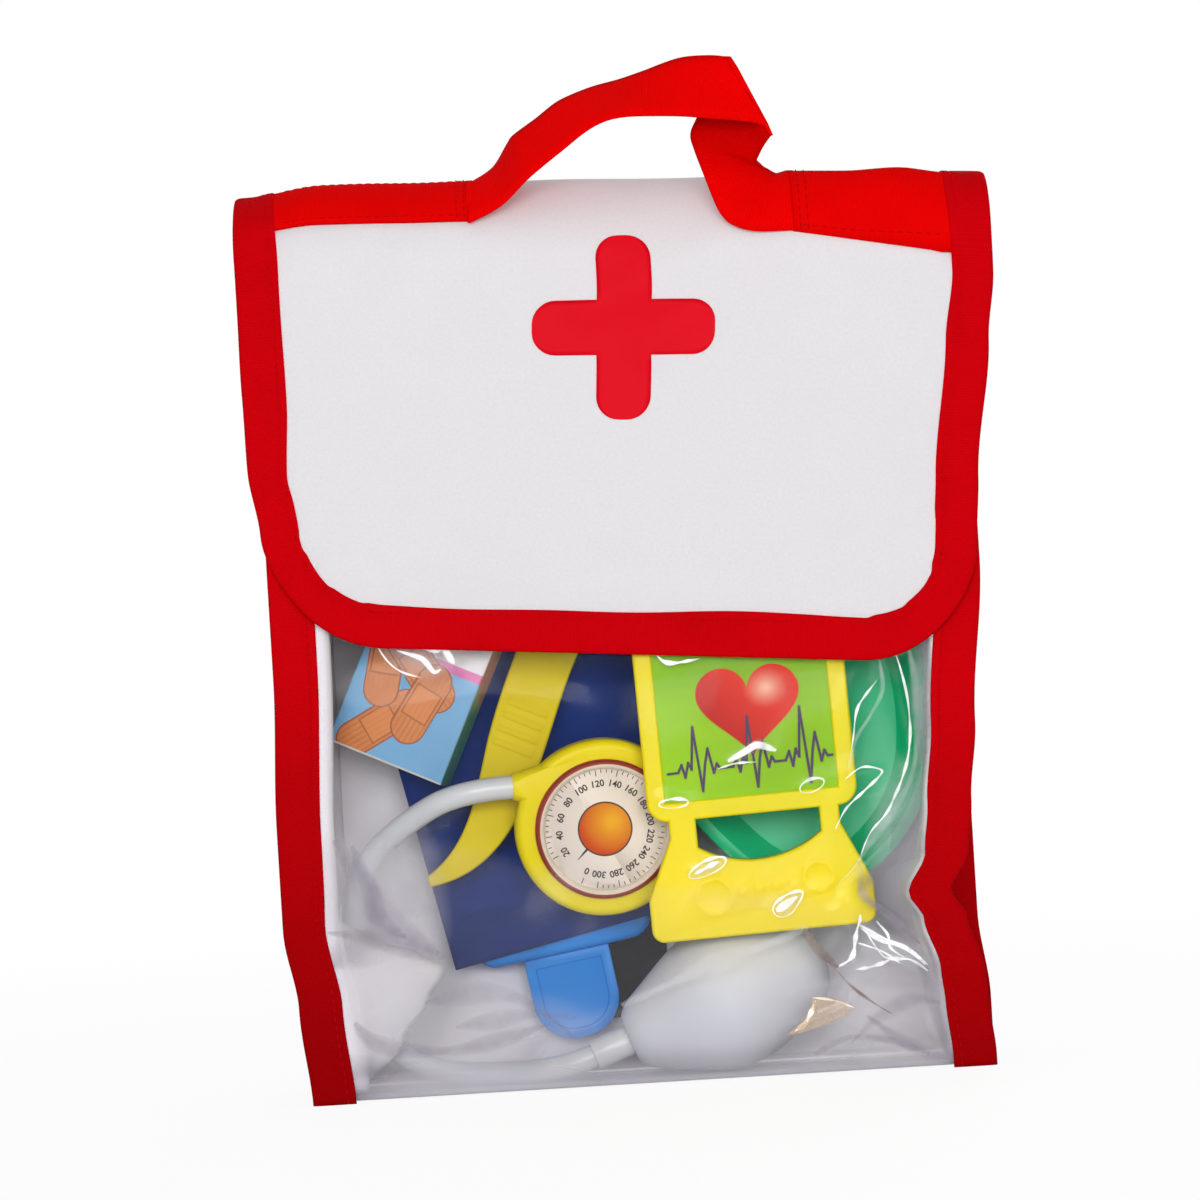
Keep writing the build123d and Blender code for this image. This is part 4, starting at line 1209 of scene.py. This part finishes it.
def handle_ribbon():
    stations = ribbon_stations()
    rows = spline([station + (bow,) for station, bow in zip(stations, RIBBON_BOW)], 6)
    across = steps(0, 1, 1 / 7)
    centre = []
    for row in rows:
        back_edge, front_edge, bow = Vector(row[:3]), Vector(row[3:6]), row[6] * BOW_HEIGHT
        centre.append([back_edge.lerp(front_edge, s) + BOW_WAY * (bow * s * (1 - s)) for s in across])
    normals = []
    for j, row in enumerate(centre):
        before, after = centre[max(j - 1, 0)], centre[min(j + 1, len(centre) - 1)]
        sides = [row[min(i + 1, len(row) - 1)] - row[max(i - 1, 0)] for i in range(len(row))]
        normals.append([(after[i] - before[i]).cross(side).normalized() for i, side in enumerate(sides)])
    run = runs([row[3] for row in centre])

    def skin(lift):
        def at(i, j):
            edge = min(across[i], 1 - across[i]) * WEBBING
            return tuple(centre[j][i] + normals[j][i] * lift * (0.55 + 0.45 * smooth(edge / 2.5)))

        return at

    faces = skin(RIBBON_HALF_THICK), skin(-RIBBON_HALF_THICK)
    grid = list(range(len(across))), list(range(len(centre)))
    return two_skins("handle_ribbon", *grid, *faces, lambda i, j: (run[j], across[i] * WEBBING))


ribbon = handle_ribbon()
finish_piece(ribbon, loop_webbing, None, ["handle_loop"])
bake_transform(ribbon)

# ---------------------------------------------------------------- stitches


class Tree(Nodes):
    """A Geometry Nodes tree with named inputs."""

    def __init__(self, name, inputs):
        tree = bpy.data.node_groups.new(name, "GeometryNodeTree")
        tree.interface.new_socket("Geometry", in_out="INPUT", socket_type="NodeSocketGeometry")
        self.names = {}
        for label, kind in inputs.items():
            self.names[label] = tree.interface.new_socket(label, in_out="INPUT", socket_type=kind).identifier
        tree.interface.new_socket("Geometry", in_out="OUTPUT", socket_type="NodeSocketGeometry")
        super().__init__(tree, "NodeGroupOutput")
        self.given = self.make("NodeGroupInput").outputs


def stitch_tree():
    """Rows of small thread stitches along the edges of a mesh."""
    sizes = {label: "NodeSocketFloat" for label in ("Pitch", "Length", "Thickness")}
    tree = Tree("stitch rows", {**sizes, "Thread": "NodeSocketMaterial"})
    line = tree.make("GeometryNodeMeshToCurve", {}, {"Mesh": tree.given["Geometry"]}).outputs["Curve"]
    spacing = {"Curve": line, "Length": tree.given["Pitch"]}
    dots = tree.make("GeometryNodeCurveToPoints", {"mode": "LENGTH"}, spacing).outputs
    ball = tree.make("GeometryNodeMeshUVSphere", {}, {"Segments": 6, "Rings": 5, "Radius": 0.5}).outputs["Mesh"]
    sizes = {"X": tree.given["Thickness"], "Y": tree.given["Thickness"], "Z": tree.given["Length"]}
    size = tree.make("ShaderNodeCombineXYZ", {}, sizes).outputs["Vector"]
    laid = {"Points": dots["Points"], "Instance": ball, "Rotation": dots["Rotation"], "Scale": size}
    many = tree.make("GeometryNodeInstanceOnPoints", {}, laid).outputs["Instances"]
    real = tree.make("GeometryNodeRealizeInstances", {}, {"Geometry": many}).outputs["Geometry"]
    threaded = {"Geometry": real, "Material": tree.given["Thread"]}
    done = tree.make("GeometryNodeSetMaterial", {}, threaded).outputs["Geometry"]
    tree.tree.links.new(done, tree.end.inputs[0])
    return tree


stitching = stitch_tree()
STITCH = {"Pitch": 3.2 * MM, "Length": 2.3 * MM, "Thickness": 0.45 * MM}


def stitches(name, lines, body):
    points, edges = [], []
    for line in lines:
        first = len(points)
        points += line
        edges += [(first + i, first + i + 1) for i in range(len(line) - 1)]
    mesh = bpy.data.meshes.new(name)
    mesh.from_pydata([place(p) for p in points], edges, [])
    piece = put_in_scene(name, mesh)
    rows = piece.modifiers.new("rows", "NODES")
    rows.node_group = stitching.tree
    for label, value in {**STITCH, "Thread": red_thread}.items():
        rows[stitching.names[label]] = value
    settle(piece)
    piece.data.shade_smooth()
    finish_piece(piece, red_thread, body)


def offset_line(path, inset, surface, lift):
    """A line on a surface, to the left of a path."""
    line = []
    for index, (a, b) in enumerate(path):
        ta, tb = direction(path, index)
        line.append(surface(a - tb * inset, b + ta * inset, lift))
    return line


binding_rows = [offset_line(flap_path[2:-2], STITCH_IN, flap_at, lift) for lift in (0.72, -FABRIC - 0.75)]
stitches("flap_binding_stitches", binding_rows, "flap")
strap_rows = []
for middle in (-50.4, 65.2):
    for x in (middle, middle + math.copysign(2.6, middle)):
        strap_rows.append([flap_at(x, strap_run(x, share), 2.02) for share in steps(0.06, 0.94, 0.06)])
for low, high in ((-112, -52), (67, 112)):
    for share in (0.07, 0.93):
        strap_rows.append([flap_at(x, strap_run(x, share), 1.9) for x in steps(low, high, 3)])
stitches("strap_stitches", strap_rows, "flap")
pouch_rows = []
for surface, top in ((front_surface, 261), (back_surface, 284)):
    for side, _ in SIDES:
        pouch_rows.append([surface(side * (SEAM - STITCH_IN), z, 0.66) for z in steps(1.5, top, 3)])
stitches("pouch_binding_stitches", pouch_rows, "pouch")

# ---------------------------------------------------------------- toys


def in_place(f, at, where):
    """Object coordinates turned into a toy's own, in millimetres."""
    parts = []
    for *across, shift in list(where.inverted())[:3]:
        dot = f.add("ShaderNodeVectorMath", {"operation": "DOT_PRODUCT"}, {0: at, 1: across}, "Value")
        parts.append((dot + shift) * 1000.0)
    return parts


def moved(x, y, z):
    return Matrix.Translation((x * MM, y * MM, z * MM))


def leaning(degrees, axis):
    return Matrix.Rotation(math.radians(degrees), 4, axis)


gauge_place = moved(-12.6, SHIFT_Y - 8.8, 91.0) @ leaning(6, "X") @ leaning(6, "Z")
CARD_EDGE = 23.1  # from the dial's middle
DISC_R = 9.4
DISC_FRONT = -6.6
MARKS_FRONT = -6.62
DIAL_PITCH = 21.93  # degrees from one number to the next


def rim_paint():
    """Brick red along the ring's outer edge and card colour inside it."""
    f = Finish("painted ring")
    at = f.here()
    x, _, z = in_place(f, at, gauge_place)
    far = (x * x + z * z).power(0.5)
    cloud = f.noise(at, 60.0, 3.0)
    red = f.mix(cloud, tone(164, 58, 42), tone(136, 42, 34))
    card = f.mix(cloud, tone(232, 222, 208), tone(218, 206, 190))
    shade = f.mix((far - CARD_EDGE).ramp(0.0, 0.25), card, red)
    return f.done(f.surface(shade, cloud * 0.08 + 0.4, Specular_IOR_Level=0.2))



def printed(name, shape, at, finish, body):
    """A flat mark in the x and z of a seat, facing its front."""
    points, faces = shape
    mesh = bpy.data.meshes.new(name)
    mesh.from_pydata([at @ (Vector(p) * MM) for p in points], [], faces)
    front = at.to_3x3() @ Vector((0, -1, 0))
    with reworked(mesh) as work:
        for face in work.faces:
            face.normal_update()
        bmesh.ops.reverse_faces(work, faces=[face for face in work.faces if face.normal.dot(front) < 0])
    finish_piece(put_in_scene(name, mesh), finish, body)


def lettering(words, size):
    """The outline of a few figures, centred, as points and faces in x and z."""
    curve = bpy.data.curves.new("figures", "FONT")
    curve.body, curve.size = words, size * MM
    curve.align_x, curve.align_y = "CENTER", "CENTER"
    curve.resolution_u = 4
    curve.offset = 0.07 * MM
    holder = put_in_scene("figures", curve)
    bpy.context.view_layer.update()
    mesh = bpy.data.meshes.new_from_object(holder)
    bpy.data.objects.remove(holder)
    return [(v.co.x / MM, v.co.y / MM) for v in mesh.vertices], [tuple(p.vertices) for p in mesh.polygons]


def bar(foot, head, length):
    """A straight mark that narrows from foot to head."""
    return [(-foot / 2, 0), (foot / 2, 0), (head / 2, length), (-head / 2, length)], [(0, 1, 2, 3)]


def dial_marks():
    """The numbers from 0 to 300 with four steps between them, and the needle."""
    points, faces = [], []

    def put(shape, radius, angle):
        first = len(points)
        c, s = math.cos(angle), math.sin(angle)
        for a, b in shape[0]:
            points.append(((radius + b) * c + a * s, MARKS_FRONT, (radius + b) * s - a * c))
        faces.extend(tuple(first + i for i in face) for face in shape[1])

    for number in range(16):
        angle = math.radians(206 - DIAL_PITCH * (number - 1) if number else 243)
        put(lettering(str(number * 20), 3.3), 16.2, angle)
        for part in range(4 if 0 < number < 15 else 1):
            long = 1.2 if part else 2.2
            put(bar(0.28, 0.28, long), 21.2 - long, angle - math.radians(DIAL_PITCH) * part / 4)
    put(bar(0.9, 0.2, 5.2), DISC_R, math.radians(225))
    return points, faces


def orange_print():
    """Yellow at its upper right, deep orange round its edge."""
    f = Finish("orange print")
    at = f.here()
    x, _, z = in_place(f, at, gauge_place)
    a, b = x - 2.6, z - 2.4
    glow = (a * a + b * b).power(0.5).ramp(1.5, 11.5)
    grain = f.noise(at, 400.0) * 0.1
    shade = f.mix((glow + grain).ramp(0.0, 1.05), tone(244, 176, 36), tone(208, 74, 14))
    return f.done(f.surface(shade, 0.45 + grain, Specular_IOR_Level=0.2))


CIRCLE = [2 * math.pi * i / 48 for i in range(48)]


def circle(radius, front):
    return [(radius * math.cos(angle), front, radius * math.sin(angle)) for angle in CIRCLE]


dressed("gauge_body", yellow, 0.25)
dressed("gauge_ring", rim_paint(), 0.3)
dressed("gauge_dial", dial_card)
printed("dial_marks", dial_marks(), gauge_place, dial_ink, "pouch")
disc = circle(DISC_R, DISC_FRONT), [tuple(range(48))]
printed("dial_disc", disc, gauge_place, orange_print(), "pouch")
rim_faces = [(i, (i + 1) % 48, 48 + (i + 1) % 48, 48 + i) for i in range(48)]
disc_edge = circle(9.2, -6.66) + circle(9.75, -6.66), rim_faces
printed("dial_disc_edge", disc_edge, gauge_place, dial_ink, "pouch")

# the hose, one soft line from the gauge's nipple to the pump's collar
HOSE = [
    (-43.77, -15.29, 107.01), (-62.67, -17.27, 106.80), (-83.0, -4.0, 96.0), (-99.0, 8.0, 82.0),
    (-103.8, 14.5, 60.0), (-103.6, 14.5, 37.0), (-96.0, 4.0, 18.0), (-78.0, -11.8, 7.6),
    (-52.0, -12.6, 5.7), (-29.87, -0.4, 5.61), (-20.54, -0.4, 9.19),
]


def hose_curve():
    curve = bpy.data.curves.new("hose", "CURVE")
    curve.dimensions = "3D"
    curve.bevel_depth = 4.25 * MM
    curve.bevel_resolution = 5
    curve.resolution_u = 12
    line = curve.splines.new("NURBS")
    line.points.add(len(HOSE) - 1)
    for point, at in zip(line.points, HOSE):
        point.co = (*place(at), 1)
    line.order_u = 3
    line.use_endpoint_u = True
    curve.use_fill_caps = True
    piece = put_in_scene("hose", curve)
    return finish_piece(piece, milky_hose, "pouch", ["pressure_hose"])


dressed("squeeze_bulb", white_rubber, 0.0, 60)
collar = dressed("bulb_collar", white_plastic, 0.4)
hose = hose_curve()
place(HOSE[0])

monitor_place = moved(43.9701, SHIFT_Y, 0.0685) @ leaning(-2.2, "Y")
SCREEN_FRONT = -24.8
SCAN_PITCH = 1.1  # of the screen's faint rows


def screen_face():
    """Lit green at the lower left and deeper at the upper right, with faint scan rows."""
    f = Finish("screen print")
    at = f.here()
    x, _, z = f.parts(at)
    slope = ((x - 0.010) * 3.0 + (z - 0.100) * 5.0).ramp(0.0, 0.9)
    rows = (z * (2 * math.pi / (SCAN_PITCH * MM))).sine() * 0.03
    bands = f.noise(f.turned(at, (0, 0, 0), (0, 0, 0), (16.0, 1.0, 60.0)), 1.0) - 0.5
    worn = (slope * 0.7 + rows + bands * 1.1 + 0.15).ramp(0.0, 1.0)
    shade = f.mix(worn, tone(156, 208, 4), tone(112, 176, 0))
    return f.done(f.surface(shade, f.noise(at, 500.0) * 0.1 + 0.3, Specular_IOR_Level=0.15))


def shaded_heart():
    f = Finish("red heart print")
    at = f.here()
    x, _, z = in_place(f, at, monitor_place)
    a, b = x - 8.6, z - 136.5
    glow = (1.0 - (a * a + b * b * 1.3).power(0.5).ramp(0.5, 9.0)).power(1.6)
    deep = ((x + 14.0) * 0.02 + (z - 116.0) * 0.02).ramp(0.0, 0.75)
    shade = f.mix(deep, tone(176, 10, 12), tone(226, 52, 34))
    shade = f.mix(glow, shade, tone(250, 196, 176))
    return f.done(f.surface(shade, f.noise(at, 300.0) * 0.1 + 0.35, Specular_IOR_Level=0.12))


def heart_shape(x, z, wide, high):
    """A plain heart as a flat face."""
    outline = []
    for i in range(64):
        t = 2 * math.pi * i / 64
        a = math.sin(t) ** 3
        b = (13 * math.cos(t) - 5 * math.cos(2 * t) - 2 * math.cos(3 * t) - math.cos(4 * t)) / 14.5
        outline.append((x + a * wide / 2, SCREEN_FRONT - 0.12, z + b * high / 2))
    return outline, [tuple(range(64))]


def pulse_shape(points, width):
    """A jagged trace of even thickness through points in x and z."""
    corners, faces = [], []
    for a, b in zip(points, points[1:]):
        way = direction([a, b], 0)
        dx, dz = way[0] * width / 2, way[1] * width / 2
        first = len(corners)
        for (x, z), along, side in ((a, -1, 1), (a, -1, -1), (b, 1, -1), (b, 1, 1)):
            # each stretch lies a little in front of the last
            front = SCREEN_FRONT - 0.2 - 0.002 * first
            corners.append((x + along * dx + side * dz, front, z + along * dz - side * dx))
        faces.append(tuple(range(first, first + 4)))
    return corners, faces


# one beat of the pulse: (across, height)
BEAT = [
    (-6.4, 0), (-5, 3), (-4, -2.2), (-2.6, 3.6), (-1.6, 0.8), (0, 18.2), (1.7, -8.6), (3.2, 2), (4.6, 8.6),
    (6.1, -1.6), (7.4, 2), (8.4, 0),
]
PULSE = [(-28.5, 109.6)]
for beat in (-18.5, 0.9, 19.5):
    for off, height in BEAT:
        PULSE.append((beat + off, 110.2 + (beat + off) * 0.02 + height * (0.92 + 0.004 * beat)))
PULSE.append((29.4, 110.8))

dressed("monitor_stand", yellow, 0.35)
dressed("monitor_screen", screen_face())
heart = heart_shape(1.9, 131.3, 36.5, 32.8)
printed("screen_heart", heart, monitor_place, shaded_heart(), "monitor")
printed("screen_pulse", pulse_shape(PULSE, 0.92), monitor_place, pulse_ink, "monitor")

dressed("kidney_dish", green_plastic, 0.3)
dressed("hammer_head", blue_plastic, 0.0, 40)
dressed("hammer_handle", blue_plastic, 0.3)
dressed("tweezers_front_arm", tweezers_yellow, 0.25)
dressed("tweezers_back_arm", tweezers_yellow, 0.25)
dressed("cuff_tape", black_tape, 0.2)
dressed("loop_tape", pile_tape, 0.2)
dressed("hook_tape", pile_tape, 0.2)

carton_place = moved(-28, SHIFT_Y, 153) @ leaning(25, "Y") @ moved(-38.9, -2.4, -18.1) @ leaning(-10, "Z")
# the printed plasters: middle (x, height), lean and half length
PLASTERS = [
    (-6.5, -26.5, 52.0, 17.0), (-13.0, -4.0, -78.0, 17.5), (-1.0, -2.5, -36.0, 18.5), (5.0, -15.0, 80.0, 15.0),
    (-4.0, 20.0, -30.0, 15.0),
]
PLASTER_HALF = 6.0  # half a plaster's width
PAD_HALF = 5.4


def rounded_bar(a, b, half_a, half_b):
    """1 inside a round-ended bar, 0 outside, in millimetres."""
    over = (a.size() - (half_a - half_b)).most(0.0)
    far = (over * over + b * b).power(0.5)
    return 1.0 - (far - (half_b - 0.15)).ramp(0.0, 0.3)


def near(value, half, soft=0.25):
    """1 within half of nought, 0 beyond."""
    return 1.0 - (value.size() - half).ramp(0.0, soft)


def carton_print():
    """A plain toy carton: pale top, pink and blue rules, blue foot and five sticking plasters."""
    f = Finish("printed carton")
    at = f.here()
    x, _, z = in_place(f, at, carton_place)
    fibre = f.noise(at, 800.0)
    cloud = f.noise(at, 45.0, 3.0)
    shade = f.mix(cloud.ramp(0.3, 0.7), tone(236, 232, 234), tone(222, 220, 226))
    blue = f.mix(cloud.ramp(0.3, 0.8), tone(122, 178, 220), tone(104, 164, 210))
    shade = f.mix((-0.6 - z).ramp(0.0, 0.3), shade, blue)
    shade = f.mix(near(z - 0.6, 1.5), shade, tone(222, 108, 176))
    shade = f.mix(near(z - 33.5, 1.2), shade, tone(70, 150, 200))
    tan = f.mix(f.noise(at, 260.0, 3.0), tone(228, 146, 82), tone(204, 116, 56))
    for cx, cz, lean, long in PLASTERS:
        c, s = math.cos(math.radians(lean)), math.sin(math.radians(lean))
        a = (x - cx) * c + (z - cz) * s
        b = (z - cz) * c - (x - cx) * s
        rim = rounded_bar(a, b, long + 0.5, PLASTER_HALF + 0.5)
        shade = f.mix(rim, shade, tone(150, 76, 34))
        strip = rounded_bar(a, b, long, PLASTER_HALF)
        rib = ((b * 3.4).sine() * 0.5 + 0.5) * 0.4
        shade = f.mix(strip, shade, f.mix(rib, tan, tone(176, 92, 40)))
        square = a.size().most(b.size() * 1.2)
        shade = f.mix(strip * near(square, PAD_HALF + 0.5, 0.3), shade, tone(168, 90, 42))
        pad = f.mix(rib * 0.6, tone(222, 138, 74), tone(196, 108, 50))
        shade = f.mix(strip * near(square, PAD_HALF, 0.3), shade, pad)
    side = (x.size() - 21.9).ramp(0.0, 0.05)
    patchy = f.mix(cloud.ramp(0.42, 0.6), tone(150, 178, 150), tone(186, 96, 84))
    shade = f.mix(side, shade, f.mix((z + 12.0).ramp(0.0, 6.0), tone(46, 132, 140), patchy))
    foot = (-38.2 - z).ramp(0.0, 0.2)
    shade = f.mix(foot * (1.0 - side), shade, tone(206, 204, 198))
    normal = f.bump(fibre + cloud * 0.4, 0.05 * MM)
    return f.done(f.surface(shade, fibre * 0.12 + 0.42, normal, Coat_Weight=0.15))


dressed("bandage_box", carton_print(), 0.25)

# the cuff: a folded pad of navy cloth behind the other toys
cuff_place = moved(-68.9, SHIFT_Y, 40.9) @ leaning(-12.5, "Y")
cuff_waves = waves(51, 7, 70, 24)
CUFF_WIDE, CUFF_HIGH, CUFF_MIDDLE = 96, 118, 12.5


def cuff_skin(way):
    """The front (-1) or back (1) face of the cuff, crowned between its edges."""
    def at(x, z):
        crown = smooth(min(x, CUFF_WIDE - x, z, CUFF_HIGH - z) / 7)
        half = 0.35 + 1.35 * crown + 0.16 * cuff_waves(x, z) * crown
        point = cuff_place @ Vector((x * MM, (CUFF_MIDDLE + way * half) * MM, z * MM))
        return (point.x / MM, point.y / MM - SHIFT_Y, point.z / MM)

    return at


cuff_grid = steps(0.5, CUFF_WIDE - 0.5, 2), steps(0.5, CUFF_HIGH - 0.5, 2)
cuff = two_skins("cuff_pad", *cuff_grid, cuff_skin(-1), cuff_skin(1))
finish_piece(cuff, navy_cloth, "pouch", ["arm_cuff"])

# ---------------------------------------------------------------- stage, lamps and camera


def stage_floor():
    size = 6.0
    mesh = bpy.data.meshes.new("floor")
    corners = [(-size, -size, 0), (size, -size, 0), (size, size, 0), (-size, size, 0)]
    mesh.from_pydata(corners, [], [(0, 1, 2, 3)])
    f = Finish("pale floor")
    x, y, _ = f.parts(f.here())
    far = (x * x + y * y).power(0.5).ramp(0.35, 0.9)
    card = f.surface(f.mix(f.noise(f.here(), 30.0), (0.93, 0.93, 0.93, 1), (0.95, 0.95, 0.95, 1)), 0.7)
    light = f.add("ShaderNodeEmission", {}, {"Color": (1, 1, 1, 1), "Strength": 1.0})
    mesh.materials.append(f.done(f.mixed(f.seen() * (far * 0.1 + 0.9), card, light)))
    put_in_scene("floor", mesh)


def sky():
    """White where the camera sees it, and soft light on the object."""
    f = Finish("studio", bpy.data.worlds, "ShaderNodeOutputWorld")
    soft = f.add("ShaderNodeBackground", {}, {"Color": (1, 1, 1, 1), "Strength": 0.5})
    plain = f.add("ShaderNodeBackground", {}, {"Color": (1, 1, 1, 1), "Strength": 1.0})
    bpy.context.scene.world = f.done(f.mixed(f.seen(), soft, plain))


def lamp(name, at, target, size, power):
    light = bpy.data.lights.new(name, "AREA")
    light.shape = "RECTANGLE"
    light.size, light.size_y = size
    light.energy = power
    holder = put_in_scene(name, light)
    holder.location = at
    holder.rotation_euler = (Vector(target) - Vector(at)).to_track_quat("-Z", "Y").to_euler()


stage_floor()
sky()
lamp("key", (-0.34, -1.9, 0.52), (0, 0, 0.13), (0.6, 0.6), 11.0)
lamp("fill", (0.42, -1.9, 0.4), (0, 0, 0.13), (0.7, 0.7), 9.7)
lamp("top", (0.0, 0.1, 1.5), (0, 0, 0.1), (1.2, 1.0), 1.5)
lamp("back", (0.5, 1.9, 0.6), (0, 0, 0.13), (0.8, 0.8), 7.0)

CAMERA_AT = (-0.0088, -1.61114, 0.171)
CAMERA_ROLL = math.radians(3.5)
camera_data = bpy.data.cameras.new("camera")
camera_data.lens = 137.14
camera_data.sensor_width = 36.0
camera = put_in_scene("camera", camera_data)
roll_c, roll_s = math.cos(CAMERA_ROLL), math.sin(CAMERA_ROLL)
camera_turn = Matrix(((roll_c, roll_s, 0), (0, 0, -1), (-roll_s, roll_c, 0))).to_4x4()
camera.matrix_world = Matrix.Translation(CAMERA_AT) @ camera_turn
bpy.context.scene.camera = camera
bpy.context.scene.view_settings.view_transform = "Standard"
